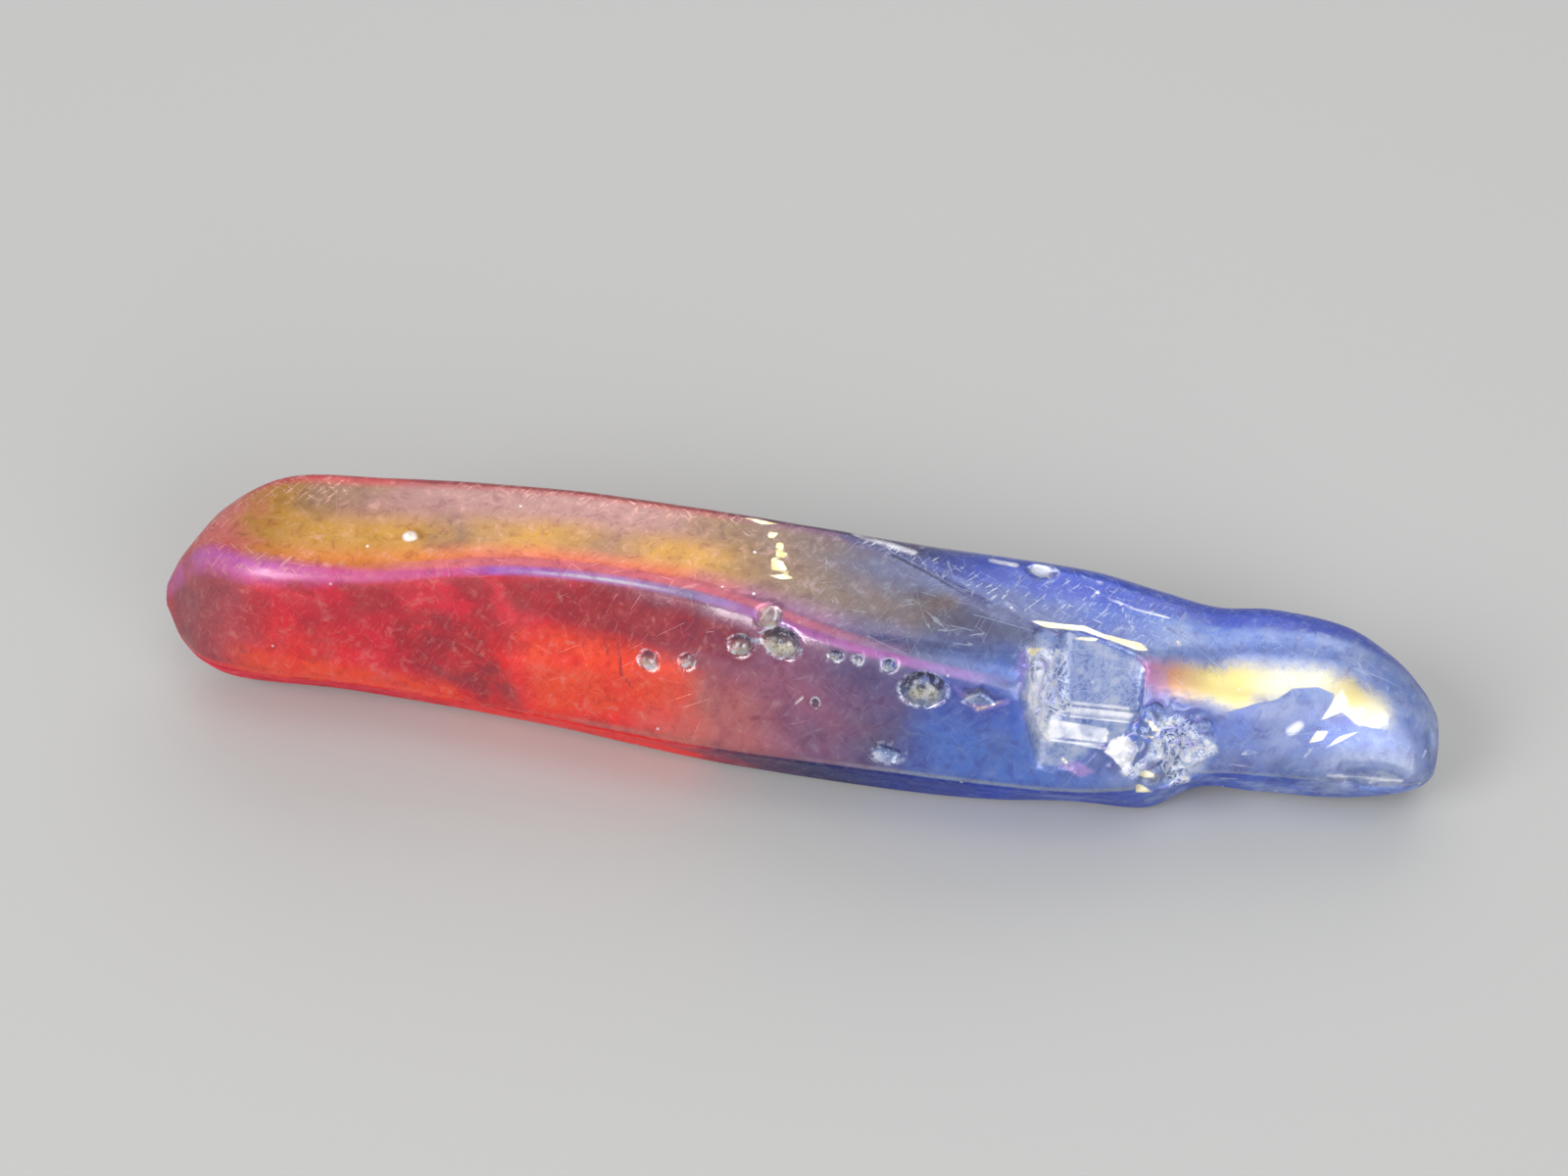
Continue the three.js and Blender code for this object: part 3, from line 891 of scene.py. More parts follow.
@dataclass
class SkinMap:
    """The uncut skin, which says for any place near it how far round the stone it is and how deep it lies.

    Attributes:
        rings: the cross-sections.
        girth: how far round the stone each of their points is.
        way: how far over the skin from the front crest each is, in metres.
    """

    rings: np.ndarray
    girth: np.ndarray
    way: np.ndarray

    def __post_init__(self) -> None:
        """Builds the search tree over the skin's triangles."""
        count, around, _ = self.rings.shape
        first = (np.arange(count - 1)[:, None] * around + np.arange(around - 1)[None, :]).ravel()
        corners = [first, first + 1, first + around]
        others = [first + 1, first + around + 1, first + around]
        self.triangles = np.concatenate([np.stack(corners, axis=1), np.stack(others, axis=1)])
        self.places = self.rings.reshape(-1, 3)
        self.tree = BVHTree.FromPolygons(self.places.tolist(), self.triangles.tolist())

    def read(self, points: np.ndarray) -> tuple[np.ndarray, np.ndarray, np.ndarray]:
        """Looks places up.

        Args:
            points: places, one row each.

        Returns:
            The girth, the way in metres and the depth in metres of each.
        """
        found = [self.tree.find_nearest(point) for point in points]
        hit = np.array([f[0] for f in found])
        depth = np.array([f[3] for f in found])
        triangles = self.triangles[[f[2] for f in found]]
        a, b, c = (self.places[triangles[:, k]] for k in range(3))
        whole = np.cross(b - a, c - a)
        area = np.maximum((whole**2).sum(axis=1), 1e-30)
        share_b = (np.cross(hit - a, c - a) * whole).sum(axis=1) / area
        share_c = (np.cross(b - a, hit - a) * whole).sum(axis=1) / area
        shares = np.stack([1 - share_b - share_c, share_b, share_c], axis=1)
        girth = (self.girth.ravel()[triangles] * shares).sum(axis=1)
        way = (self.way.ravel()[triangles] * shares).sum(axis=1)
        return girth, way, depth


@dataclass(frozen=True)
class RoughPatch:
    """Broken ground: its middle in percentages, and its radius and its lumps' size and height in metres."""

    at: Place
    radius: float
    grain: Grain
    size: float
    height: float

    def spread(self, cage: Cage, stone: Piece) -> None:
        """Roughens the stone there.

        Args:
            cage: the cage of the stone.
            stone: the stone, already redrawn with small faces.
        """
        gap = np.linalg.norm(coordinates(stone) - np.array(cage.place(*self.at)), axis=1)
        weights = 1 - smoothstep(gap, 0.6 * self.radius, self.radius)
        group = stone.vertex_groups.new(name="rough patch")
        for number in np.flatnonzero(weights > 0):
            group.add([int(number)], float(weights[number]), "REPLACE")
        roughen(stone, self.grain, self.size, self.height, group.name)
        stone.vertex_groups.clear()


@dataclass
class QuartzPoint:
    """The stone: its cage, how it is drawn and worn, and what it has lost.

    Attributes:
        cage: the long edges.
        voxel: the size of its small faces, in metres.
        waves: how far apart the faces' gentle waves are and how high, in metres.
        tumbling: how far each pass of smoothing goes, and how many there are.
        bend_passes: how many times the sharpness of the skin's turns is evened out.
        bend_gain: what makes that sharpness about 1 on an edge.
        far: the reach that is taken for all places away from the pits.
    """

    cage: Cage
    voxel: float = 0.2 * MM
    waves: tuple[float, float] = (4.5 * MM, 0.09 * MM)
    tumbling: tuple[float, int] = (0.5, 2)
    bend_passes: int = 3
    bend_gain: float = 6
    far: float = 3
    pits: tuple[Pit, ...] = (
        Pit((-29, 1, 99), 0.5 * MM, 0.3 * MM, 0.25 * MM, Face.TOP, 30, gloom=0),
        Pit((-10, -28, 69), 0.6 * MM, 0.55 * MM, 0.5 * MM, Face.FRONT),
        Pit((-7, -28, 71), 0.45 * MM, 0.4 * MM, 0.4 * MM, Face.FRONT),
        Pit((-3, -26, 82), 0.75 * MM, 0.6 * MM, 0.6 * MM, Face.FRONT, 15),
        Pit((0, -27, 88), 1.2 * MM, 0.85 * MM, 0.9 * MM, Face.FRONT, -10, gloom=0.9),
        Pit((4.3, -31, 88), 0.45 * MM, 0.3 * MM, 0.3 * MM, Face.FRONT),
        Pit((6, -32, 88), 0.3 * MM, 0.3 * MM, 0.3 * MM, Face.FRONT),
        Pit((8.3, -33, 88), 0.4 * MM, 0.35 * MM, 0.3 * MM, Face.FRONT, 20),
        Pit((11, -37, 80), 1.3 * MM, 1.0 * MM, 1.2 * MM, Face.FRONT, 5, gloom=1.0),
        Pit((8.7, -46, 47), 0.95 * MM, 0.7 * MM, 0.25 * MM, Face.FRONT, gloom=0.15),
        Pit((3, -38, 65), 0.25 * MM, 0.35 * MM, 0.3 * MM, Face.FRONT),
        Pit((19, 24, 89), 0.8 * MM, 0.6 * MM, 0.3 * MM, Face.TOP, gloom=0.15),
        Pit((49.4, -8, 45), 0.5 * MM, 0.9 * MM, 0.4 * MM, Face.ROOT_CORNER, 15, gloom=0),
    )
    notch: Notch = Notch((15.2, -38.4, 79), 3.2 * MM, 1.6 * MM, MM, 180)
    socket: tuple[SocketStep, ...] = (
        SocketStep(
            21.2, 27.1,
            (
                (-6, 111), (-7.5, 89), (-9, 86), (-24, 65), (-31, 64),
                (-32, 59.5), (-39, 58), (-45, 48), (-61, 48), (-61, 111),
            ),
            (0.85, 0.12),
        ),
        SocketStep(
            19.0, 21.4,
            ((-7, 111), (-8, 96), (-10, 91), (-36, 75), (-42, 63), (-61, 63), (-61, 111)),
            (0.5, 0.0),
        ),
    )
    grooves: tuple[Groove, ...] = (
        Groove(((2, 30, 99.5), (8, 17, 99), (15, -3, 97.5), (18.5, -10, 94.5)), 0.3 * MM),
        Groove(((7.5, -24, 95), (14, -25, 93.5)), 0.18 * MM),
    )
    flakes: tuple[Flake, ...] = (
        Flake((28.2, -27, 63), 0.15 * MM, (0.4, -0.6, 0.65), 1.0 * MM),
        Flake((30.1, -31, 49), 0.35 * MM, (0.6, -0.75, 0.25)),
        Flake((32.0, -26, 48), 0.2 * MM, (0, -0.8, 0.6), 1.5 * MM),
        Flake((29.6, -38, 34), 0.3 * MM, (0.5, -0.8, 0.3)),
        Flake((32.4, -28, 40), 0.2 * MM, (-0.1, -0.85, 0.5), 1.6 * MM),
        Flake((-1, -18, 93.5), 0.2 * MM, (0.1, -0.7, 0.7), 0.75 * MM),
        Flake((45, -25, 31), 0.25 * MM, (0.1, -0.95, 0.25)),
    )
    rough_patches: tuple[RoughPatch, ...] = (
        RoughPatch((19.3, -26, 76), 2.2 * MM, Grain.CELLS, 0.5 * MM, 0.35 * MM),
        RoughPatch((29.5, -29, 50), 3.4 * MM, Grain.CELLS, 0.7 * MM, 0.42 * MM),
        RoughPatch((29.5, -29, 50), 3.0 * MM, Grain.CLOUDS, 0.5 * MM, 0.3 * MM),
        RoughPatch((25.6, -37, 54), 1.3 * MM, Grain.CELLS, 0.6 * MM, 0.4 * MM),
    )

    def body(self, rings: np.ndarray) -> Piece:
        """Lays a grid over the cross-sections and closes it into the uncut stone.

        Args:
            rings: the cross-sections.

        Returns:
            The uncut stone, a closed mesh.
        """
        count, around, _ = rings.shape
        bpy.ops.mesh.primitive_grid_add(x_subdivisions=count - 1, y_subdivisions=around - 1, size=1)
        stone = newest("aura_quartz_point")
        flat = coordinates(stone)
        ring = np.rint((flat[:, 0] + 0.5) * (count - 1)).astype(int)
        step = np.rint((flat[:, 1] + 0.5) * (around - 1)).astype(int)
        put_coordinates(stone, rings[ring, step])
        with editing(stone):
            bpy.ops.mesh.remove_doubles(threshold=0.0005 * MM)
            bpy.ops.mesh.select_all(action="DESELECT")
            bpy.ops.mesh.select_mode(type="EDGE")
            bpy.ops.mesh.select_non_manifold()
            bpy.ops.mesh.edge_face_add()
            bpy.ops.mesh.select_mode(type="FACE")
            bpy.ops.mesh.select_all(action="SELECT")
            bpy.ops.mesh.quads_convert_to_tris()
            bpy.ops.mesh.normals_make_consistent(inside=False)
        return stone

    def cutters(self) -> list[Piece]:
        """Makes every cutting tool, each in its place."""
        tools = [*self.socket, *self.pits, self.notch, *self.grooves, *self.flakes]
        return [tool.cutter(self.cage) for tool in tools]

    def wear(self, stone: Piece) -> None:
        """Redraws the cut stone with small even faces, and rounds its edges as tumbling does.

        Args:
            stone: the cut stone.
        """
        remesh = stone.modifiers.new("even faces", "REMESH")
        remesh.mode = "VOXEL"
        remesh.voxel_size = self.voxel
        remesh.use_smooth_shade = True
        finish_modifier(stone, remesh)
        tumble = stone.modifiers.new("tumble", "SMOOTH")
        tumble.factor, tumble.iterations = self.tumbling
        finish_modifier(stone, tumble)
        for patch in self.rough_patches:
            patch.spread(self.cage, stone)

    def note_places(self, stone: Piece, skin: SkinMap) -> None:
        """Stores what the coating needs to know at each vertex.

        Args:
            stone: the worn stone.
            skin: the uncut skin.
        """
        points = coordinates(stone)
        girth, way, depth = skin.read(points)
        reaches = np.array([pit.reach(self.cage, points) for pit in self.pits])
        notes = {
            "girth": girth,
            "way": way / MM,
            "lost": depth / MM,
            "edge_wear_and_highlight": self.bends(stone, points),
            "pit": np.clip(reaches.min(axis=0), 0, self.far),
            "gloom": np.array([pit.gloom for pit in self.pits])[reaches.argmin(axis=0)],
        }
        for tone in Tone:
            levels = [mark.level(self.cage, points) for mark in MARKS if mark.tone is tone]
            notes[tone.value] = np.max(levels, axis=0)
        for name, values in notes.items():
            keep_attribute(stone, name, values)

    def bends(self, stone: Piece, points: np.ndarray) -> np.ndarray:
        """How sharply the skin turns at each vertex: plus on edges, minus in hollows.

        Args:
            stone: the worn stone.
            points: its vertices.

        Returns:
            One number for each vertex, about -1 to 1.
        """
        a, b = rows(stone.data.edges, "vertices", 2, np.int32).T
        count = np.bincount(np.concatenate([a, b]), minlength=len(points)).astype(float)

        def around(values: np.ndarray) -> np.ndarray:
            """The mean of each vertex's neighbours.

            Args:
                values: a number or a few for each vertex.

            Returns:
                Their means.
            """
            total = np.zeros_like(values)
            np.add.at(total, a, values[b])
            np.add.at(total, b, values[a])
            return total / count.reshape([-1] + [1] * (values.ndim - 1))

        inward = points - around(points)
        normals = rows(stone.data.vertex_normals, "vector", 3).astype(float)
        turn = (inward * normals).sum(axis=1) / self.voxel
        for _ in range(self.bend_passes):
            turn = 0.5 * turn + 0.5 * around(turn)
        return np.clip(turn * self.bend_gain, -1, 1)

    def fit(self, stone: Piece) -> None:
        """Scales the stone by a hair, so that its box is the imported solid's box.

        Args:
            stone: the worn stone.
        """
        low, high = (np.array(corner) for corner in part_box(NODE))
        points = coordinates(stone)
        least, most = points.min(axis=0), points.max(axis=0)
        put_coordinates(stone, low + (points - least) * (high - low) / (most - least))

    def build(self) -> Piece:
        """Builds the stone.

        Returns:
            The finished piece, with no material yet.
        """
        rings = self.cage.rings()
        stone = self.body(rings)
        roughen(stone, Grain.CLOUDS, *self.waves)
        for cutter in self.cutters():
            subtract(stone, cutter)
        log.info("cut: %d faces", len(stone.data.polygons))
        self.wear(stone)
        self.note_places(stone, SkinMap(rings, *self.cage.paces(rings)))
        self.fit(stone)
        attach(stone, BODY)
        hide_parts(NODE)
        return stone


# ---------------------------------------------------------------- finishes


class Hue(Enum):
    """The colours of the coating, as red, green and blue from 0 to 255 on a screen."""

    SALMON = (214, 112, 104)
    ROSE = (204, 64, 74)
    PINK = (246, 136, 158)
    BLUSH = (238, 182, 172)
    DUSTY_ROSE = (166, 126, 120)
    BRICK = (160, 36, 50)
    TAUPE = (122, 104, 100)
    AMBER = (214, 124, 26)
    CORAL = (206, 98, 66)
    GOLD = (190, 144, 46)
    PEACH = (236, 164, 116)
    TAN = (138, 108, 76)
    HEATHER = (108, 94, 98)
    CRIMSON = (220, 12, 58)
    SCARLET = (255, 20, 24)
    FLAME = (255, 74, 12)
    WINE = (144, 6, 40)
    PUCE = (158, 58, 76)
    PLUM = (104, 52, 96)
    MAUVE = (166, 96, 130)
    DUSK = (106, 92, 140)
    MAGENTA = (214, 80, 160)
    ORCHID = (200, 100, 190)
    VIOLET = (168, 104, 226)
    LILAC = (190, 156, 234)
    PERIWINKLE = (122, 146, 208)
    SKY = (84, 128, 222)
    ROYAL_BLUE = (8, 66, 196)
    INDIGO = (34, 36, 110)
    SLATE = (88, 98, 144)
    COBALT = (66, 94, 186)
    STEEL = (108, 142, 206)
    MIST = (156, 174, 204)
    ICE = (214, 224, 238)
    WHITE = (246, 246, 248)
    LEMON = (252, 230, 136)
    CREAM = (255, 248, 214)
    # a grey for painted shade in pits and in the lace's creases
    SHADE_GREY = (58, 54, 66)

    @property
    def linear(self) -> tuple[float, ...]:
        """The colour as the shader takes it."""
        shares = [part / 255 for part in self.value]
        return (*(s / 12.92 if s <= 0.04045 else ((s + 0.055) / 1.055) ** 2.4 for s in shares), 1.0)


@dataclass(frozen=True)
class Wire:
    """What a node gives out, a number or a colour, and what can be done with it."""

    bench: "NodeBench"
    socket: bpy.types.NodeSocket

    def __add__(self, other: object) -> "Wire":
        """The sum of the two."""
        return self.bench.math("ADD", self, other)

    def __sub__(self, other: object) -> "Wire":
        """This one less the other."""
        return self.bench.math("SUBTRACT", self, other)

    def __mul__(self, other: object) -> "Wire":
        """The product of the two."""
        return self.bench.math("MULTIPLY", self, other)

    def __truediv__(self, other: object) -> "Wire":
        """This one as a share of the other."""
        return self.bench.math("DIVIDE", self, other)

    def __abs__(self) -> "Wire":
        """The number without its sign."""
        return self.bench.math("ABSOLUTE", self)

    def most(self, other: object) -> "Wire":
        """The larger of the two."""
        return self.bench.math("MAXIMUM", self, other)

    def scaled(self, times: float, plus: object) -> "Wire":
        """The number times one value, plus another."""
        return self.bench.math("MULTIPLY_ADD", self, times, plus)

    def beside(self, output: str) -> "Wire":
        """Another output of the same node."""
        return Wire(self.bench, self.socket.node.outputs[output])

    def rise(self, low: float, high: float, at_low: float = 0, at_high: float = 1,
             kind: str = "SMOOTHSTEP") -> "Wire":
        """Maps the number from one range to another, and holds it there.

        Args:
            low: where the change starts.
            high: where it ends.
            at_low: the result at its start.
            at_high: the result at its end.
            kind: how it runs between them.

        Returns:
            The result.
        """
        ends = dict(enumerate((self, low, high, at_low, at_high)))
        return self.bench.add("MapRange", ends, interpolation_type=kind)

    def band(self, low: float, high: float, soft: float) -> "Wire":
        """1 where the number is between two others, with soft ends."""
        return self.rise(low - soft, low + soft) * self.rise(high - soft, high + soft, 1, 0)

    def tint(self, share: object, other: object, kind: str = "MIX") -> "Wire":
        """Lays a share of another colour over this one."""
        return self.bench.blend(share, self, other, kind)

    def ramp(self, *stops: tuple) -> "Wire":
        """Runs through hues as the number goes from 0 to 1.

        Args:
            stops: a hue, and the one or two percentages that it holds between, for each.

        Returns:
            The colour.
        """
        colour = self.bench.add("ValToRGB", {0: self})
        elements = colour.socket.node.color_ramp.elements
        places = [(place / 100, hue) for hue, *held in stops for place in held]
        while len(elements) < len(places):
            elements.new(0.5)
        for element, (place, hue) in zip(elements, places):
            element.position = place
            element.color = hue.linear
        return colour


class NodeBench:
    """A material's node tree, and short ways to add to it."""

    def __init__(self, name: str) -> None:
        """Starts a material with no nodes.

        Args:
            name: what the material is called.
        """
        self.material = bpy.data.materials.new(name)
        self.material.use_nodes = True
        self.nodes = self.material.node_tree.nodes
        self.nodes.clear()

    def join(self, source: object, socket: bpy.types.NodeSocket) -> None:
        """Links a socket to a wire, or sets it to a hue or a plain value.

        Args:
            source: the wire, the hue or the value.
            socket: the socket that it goes into.
        """
        if isinstance(source, Wire):
            self.material.node_tree.links.new(source.socket, socket)
        else:
            socket.default_value = source.linear if isinstance(source, Hue) else source

    def add(self, kind: str, inputs: dict | None = None, output: object = 0, **settings: object) -> Wire:
        """Adds a node.

        Args:
            kind: its type.
            inputs: what goes into which of its sockets.
            output: the one of its outputs that is wanted.
            settings: its settings by name.

        Returns:
            That output.
        """
        node = self.nodes.new(f"ShaderNode{kind}")
        for name, value in settings.items():
            setattr(node, name, value)
        for name, source in (inputs or {}).items():
            self.join(source, node.inputs[name])
        return Wire(self, node.outputs[output])

    def math(self, operation: str, *values: object, clamp: bool = False) -> Wire:
        """Works one sum."""
        return self.add("Math", dict(enumerate(values)), operation=operation, use_clamp=clamp)

    def blend(self, share: object, first: object, second: object, kind: str = "MIX") -> Wire:
        """Mixes two colours by a share of the second."""
        inputs = {"Factor": share, 6: first, 7: second}
        return self.add("Mix", inputs, 2, data_type="RGBA", blend_type=kind)

    def noise(self, where: Wire, *settings: float) -> Wire:
        """Cloudy noise, about 0.3 to 0.7, from its scale, detail, roughness and distortion."""
        names = ("Scale", "Detail", "Roughness", "Distortion")
        plain = (1.0, 3, 0.55, 0)
        return self.add("TexNoise", {"Vector": where, **dict(zip(names, settings + plain[len(settings):]))})

    def attribute(self, name: str) -> Wire:
        """Reads one of the piece's own numbers."""
        return self.add("Attribute", output="Fac", attribute_name=name)

    def finish(self, **ends: Wire) -> bpy.types.Material:
        """Joins the shaders to the material's output, and returns the material.

        Args:
            ends: the shaders, by the names of their sockets.

        Returns:
            The material.
        """
        output = self.nodes.new("ShaderNodeOutputMaterial")
        for name, wire in ends.items():
            self.join(wire, output.inputs[name])
        return self.material


class Readings:
    """What the coating can tell about the place that it is on."""

    def __init__(self, bench: NodeBench, length: float) -> None:
        """Adds the nodes that read it.

        Args:
            bench: the material's nodes.
            length: the stone's length in metres.
        """
        self.bench = bench
        self.where = bench.add("TexCoord", output="Object")
        x = bench.add("SeparateXYZ", {0: self.where})
        # 0 at the tip to 1 at the root, and the same with a cloudy waver
        self.at = x.rise(-length / 2, length / 2, kind="LINEAR")
        self.along = self.at + self.noise(200).scaled(0.14, -0.07)
        # how far round the stone, and in millimetres how far from the front crest and under the uncut skin
        self.girth, self.way, self.lost = map(bench.attribute, ("girth", "way", "lost"))
        # how sharply the skin turns, 0 in a pit's middle to 1 at its rim, and how much painted shade that
        # pit gets
        self.edge, self.pit, self.gloom = map(bench.attribute, ("edge_wear_and_highlight", "pit", "gloom"))
        # how far the skin looks up, and the place on the unrolled skin in millimetres
        self.up = bench.add("SeparateXYZ", {0: bench.add("TexCoord", output="Normal")}, 2)
        self.spot = bench.add("CombineXYZ", {0: x * (1 / MM), 1: self.way})
        # noise of about two millimetres and of about half a millimetre
        self.patch = self.noise(650, 4, 0.65)
        self.speck = self.noise(2600, 3, 0.7)

    def noise(self, *settings: float) -> Wire:
        """Noise through the stone, set as the bench's noise is."""
        return self.bench.noise(self.where, *settings)

    def grain(self, turn: float, along: float, across: float, *settings: float) -> Wire:
        """Noise on the unrolled skin, drawn out along a line that is turned by some degrees.

        Args:
            turn: the turn in degrees.
            along: how close it is along the line.
            across: how close it is across the line.
            settings: as for the bench's noise.

        Returns:
            The noise.
        """
        turned, drawn = (0, 0, math.radians(turn)), (1 / along, 1 / across, 1)
        lie = {"Vector": self.spot, "Rotation": turned, "Scale": drawn}
        return self.bench.noise(self.bench.add("Mapping", lie, vector_type="TEXTURE"), *settings)

    def tone(self, tone: Tone, *ends: float) -> Wire:
        """How much of a tone the marks give, from 0 to 1 or between other ends."""
        return self.bench.attribute(tone.value).rise(0, 1, *ends)

    def laid(self, tone: Tone) -> Wire:
        """The same, worn away here and there."""
        return self.tone(tone) * self.patch.rise(0.35, 0.6, 0.5, 1)


@dataclass
class AuraCoating:
    """Quartz under a film of metal, whose hue changes along the stone and from face to face, with painted
    glow, painted shade and painted highlights laid into its colour.

    Attributes:
        length: the stone's length in metres, which the hues are spread over.
        ior: the quartz's refraction.
        transmission: how much of the light goes through, on clear skin and on the whitest marks.
        absorbed: the tint that the quartz gives to light inside it.
        density: how strongly it does so, for each metre.
        coat: the share of a clear gloss on top.
        coat_roughness: how soft that gloss is.
        bump: the strength of the finest relief and its height in metres.
        scratch_lies: the turn of each set of scratches in degrees, and how close its scratches lie.
        dust_cells: how many dots of dust there could be in a metre.
        see: what is known about each place.
    """

    length: float
    ior: float = 1.54
    transmission: tuple[float, float] = (0.7, 0.5)
    absorbed: tuple[float, ...] = (0.80, 0.70, 0.80, 1)
    density: float = 15
    coat: float = 0.25
    coat_roughness: float = 0.12
    bump: tuple[float, float] = (0.3, 0.06 * MM)
    scratch_lies: tuple[tuple[float, float], ...] = ((32, 1.5), (-38, 1.3), (68, 1.6), (-6, 0.9), (-72, 1.4))
    dust_cells: float = 620
    see: Readings = field(init=False)

    def __post_init__(self) -> None:
        """Starts the material."""
        self.see = Readings(NodeBench("aura_coated_quartz"), self.length)

    def upper_hues(self) -> Wire:
        """Mixes the hues over the flat upper face, from the front crest to beyond the back one.

        Returns:
            The hue.
        """
        see = self.see
        low = see.along.ramp(
            (Hue.ROSE, 0, 5), (Hue.AMBER, 8, 22), (Hue.CORAL, 29, 40), (Hue.MAUVE, 47), (Hue.SLATE, 60),
            (Hue.SKY, 67), (Hue.PERIWINKLE, 74, 100),
        )
        middle = see.along.ramp(
            (Hue.ROSE, 0), (Hue.SALMON, 6), (Hue.GOLD, 9, 20), (Hue.TAN, 25), (Hue.GOLD, 31), (Hue.TAN, 36),
            (Hue.GOLD, 41), (Hue.TAN, 48), (Hue.HEATHER, 61), (Hue.SLATE, 68), (Hue.COBALT, 74),
            (Hue.PERIWINKLE, 80, 100),
        )
        far = see.along.ramp(
            (Hue.ROSE, 0), (Hue.SALMON, 7), (Hue.GOLD, 10), (Hue.TAN, 14), (Hue.DUSTY_ROSE, 19, 37),
            (Hue.TAN, 44), (Hue.HEATHER, 54), (Hue.SLATE, 61), (Hue.COBALT, 68), (Hue.SKY, 80),
            (Hue.PERIWINKLE, 100),
        )
        back = see.along.ramp(
            (Hue.ROSE, 0, 15), (Hue.BRICK, 22, 42), (Hue.PLUM, 50), (Hue.INDIGO, 58),
            (Hue.ROYAL_BLUE, 66, 100),
        )
        hue = low.tint(see.girth.rise(0.1, 0.34), middle).tint(see.girth.rise(0.38, 0.68), far)
        wider = see.along.rise(0.5, 0.66, 0, 0.2)
        return hue.tint((see.girth + wider).rise(0.8, 0.94), back)

    def front_hues(self) -> Wire:
        """Mixes the hues down the front face, over the belt and under it.

        Returns:
            The hue.
        """
        see = self.see
        high = see.along.ramp(
            (Hue.ROSE, 0), (Hue.PUCE, 3, 8), (Hue.CRIMSON, 12, 30), (Hue.WINE, 37), (Hue.PLUM, 44),
            (Hue.MAUVE, 50), (Hue.DUSK, 58), (Hue.COBALT, 64), (Hue.SKY, 70), (Hue.PERIWINKLE, 80, 100),
        )
        low = see.along.ramp(
            (Hue.ROSE, 0), (Hue.PUCE, 3), (Hue.ROSE, 8), (Hue.SCARLET, 12), (Hue.CRIMSON, 20),
            (Hue.SCARLET, 27, 39), (Hue.SALMON, 44), (Hue.MAUVE, 52), (Hue.DUSK, 58), (Hue.SKY, 64, 70),
            (Hue.PERIWINKLE, 78, 100),
        )
        belt = see.along.ramp(
            (Hue.ROSE, 0), (Hue.SCARLET, 7, 30), (Hue.SALMON, 36, 44), (Hue.MAUVE, 52), (Hue.MIST, 62, 100),
        )
        # darker high on the front face and brighter low down: the low reds are partly the dye and partly a
        # painted glow of light through the stone
        hue = high.tint(see.girth.rise(-0.25, -0.65), low)
        # a painted highlight along the belt's edge
        return hue.tint(see.girth.band(-1.03, -0.97, 0.02), belt)

    def hues(self) -> Wire:
        """Mixes the coating's hue from where on the stone it is.

        Returns:
            The hue.
        """
        see = self.see
        crest = see.along.ramp(
            (Hue.ROSE, 0), (Hue.ORCHID, 4, 11), (Hue.MAGENTA, 16, 26), (Hue.VIOLET, 30), (Hue.LILAC, 35, 38),
            (Hue.PERIWINKLE, 42), (Hue.LILAC, 45), (Hue.ORCHID, 49, 57), (Hue.LILAC, 63),
            (Hue.PERIWINKLE, 66, 100),
        )
        under = see.along.ramp(
            (Hue.CRIMSON, 0, 20), (Hue.SCARLET, 28, 42), (Hue.PLUM, 47), (Hue.INDIGO, 55),
            (Hue.ROYAL_BLUE, 68), (Hue.PERIWINKLE, 100),
        )
        skin = self.front_hues().tint(see.way.rise(-0.3, 0.4), self.upper_hues())
        skin = skin.tint(see.girth.rise(1.9, 2.5).most(see.girth.rise(-1.01, -1.05)), under)
        blush = see.way.band(0.3, 0.85, 0.2) * see.at.band(0.2, 0.55, 0.06)
        skin = skin.tint(blush * 0.75, Hue.PINK)
        skin = skin.tint(see.at.rise(0.004, 0.016, 0.9, 0), Hue.ROSE)
        # the crest band's hues, partly the film's own and partly a painted coloured highlight, with a
        # painted white highlight along part of its middle
        wide_at_tip = see.along.rise(0.08, 0.26, 3.0, 1)
        skin = skin.tint((see.way / wide_at_tip).band(-0.22, 0.3, 0.18), crest)
        return skin.tint(self.painted_crest_highlight(), Hue.ICE)

    def painted_crest_highlight(self) -> Wire:
        """A painted highlight: the bright line along the middle of the front crest."""
        return self.see.way.band(-0.1, 0.08, 0.07) * self.see.at.band(0.32, 0.4, 0.05)

    def depths(self, skin: Wire) -> Wire:
        """Lays clouds and the coloured patches over the hue: painted shade for the dark reflections inside,
        painted glow, and the film's own marks.

        Args:
            skin: the hue so far.

        Returns:
            The hue.
        """
        see = self.see
        # painted shade: a darker copy of the hue, laid in clouds over the front and in wine blotches high on
        # the red end's front, for the dark reflections inside the stone
        dark = skin.tint(1.0, (0.55, 0.3, 0.5, 1), "MULTIPLY")
        clouds = see.noise(420, 4, 0.6, 0.3).rise(0.48, 0.66, 0, 0.42)
        skin = skin.tint(clouds * see.way.rise(-0.8, 0.2, 1, 0), dark)
        blotches = see.noise(260, 4, 0.6, 0.5).rise(0.46, 0.6, 0, 0.75)
        high_up = see.girth.rise(-0.75, -0.35) * see.way.rise(-0.1, -0.5)
        red_end = see.at.band(0.08, 0.36, 0.05)
        skin = skin.tint(blotches * (high_up * red_end), Hue.WINE)
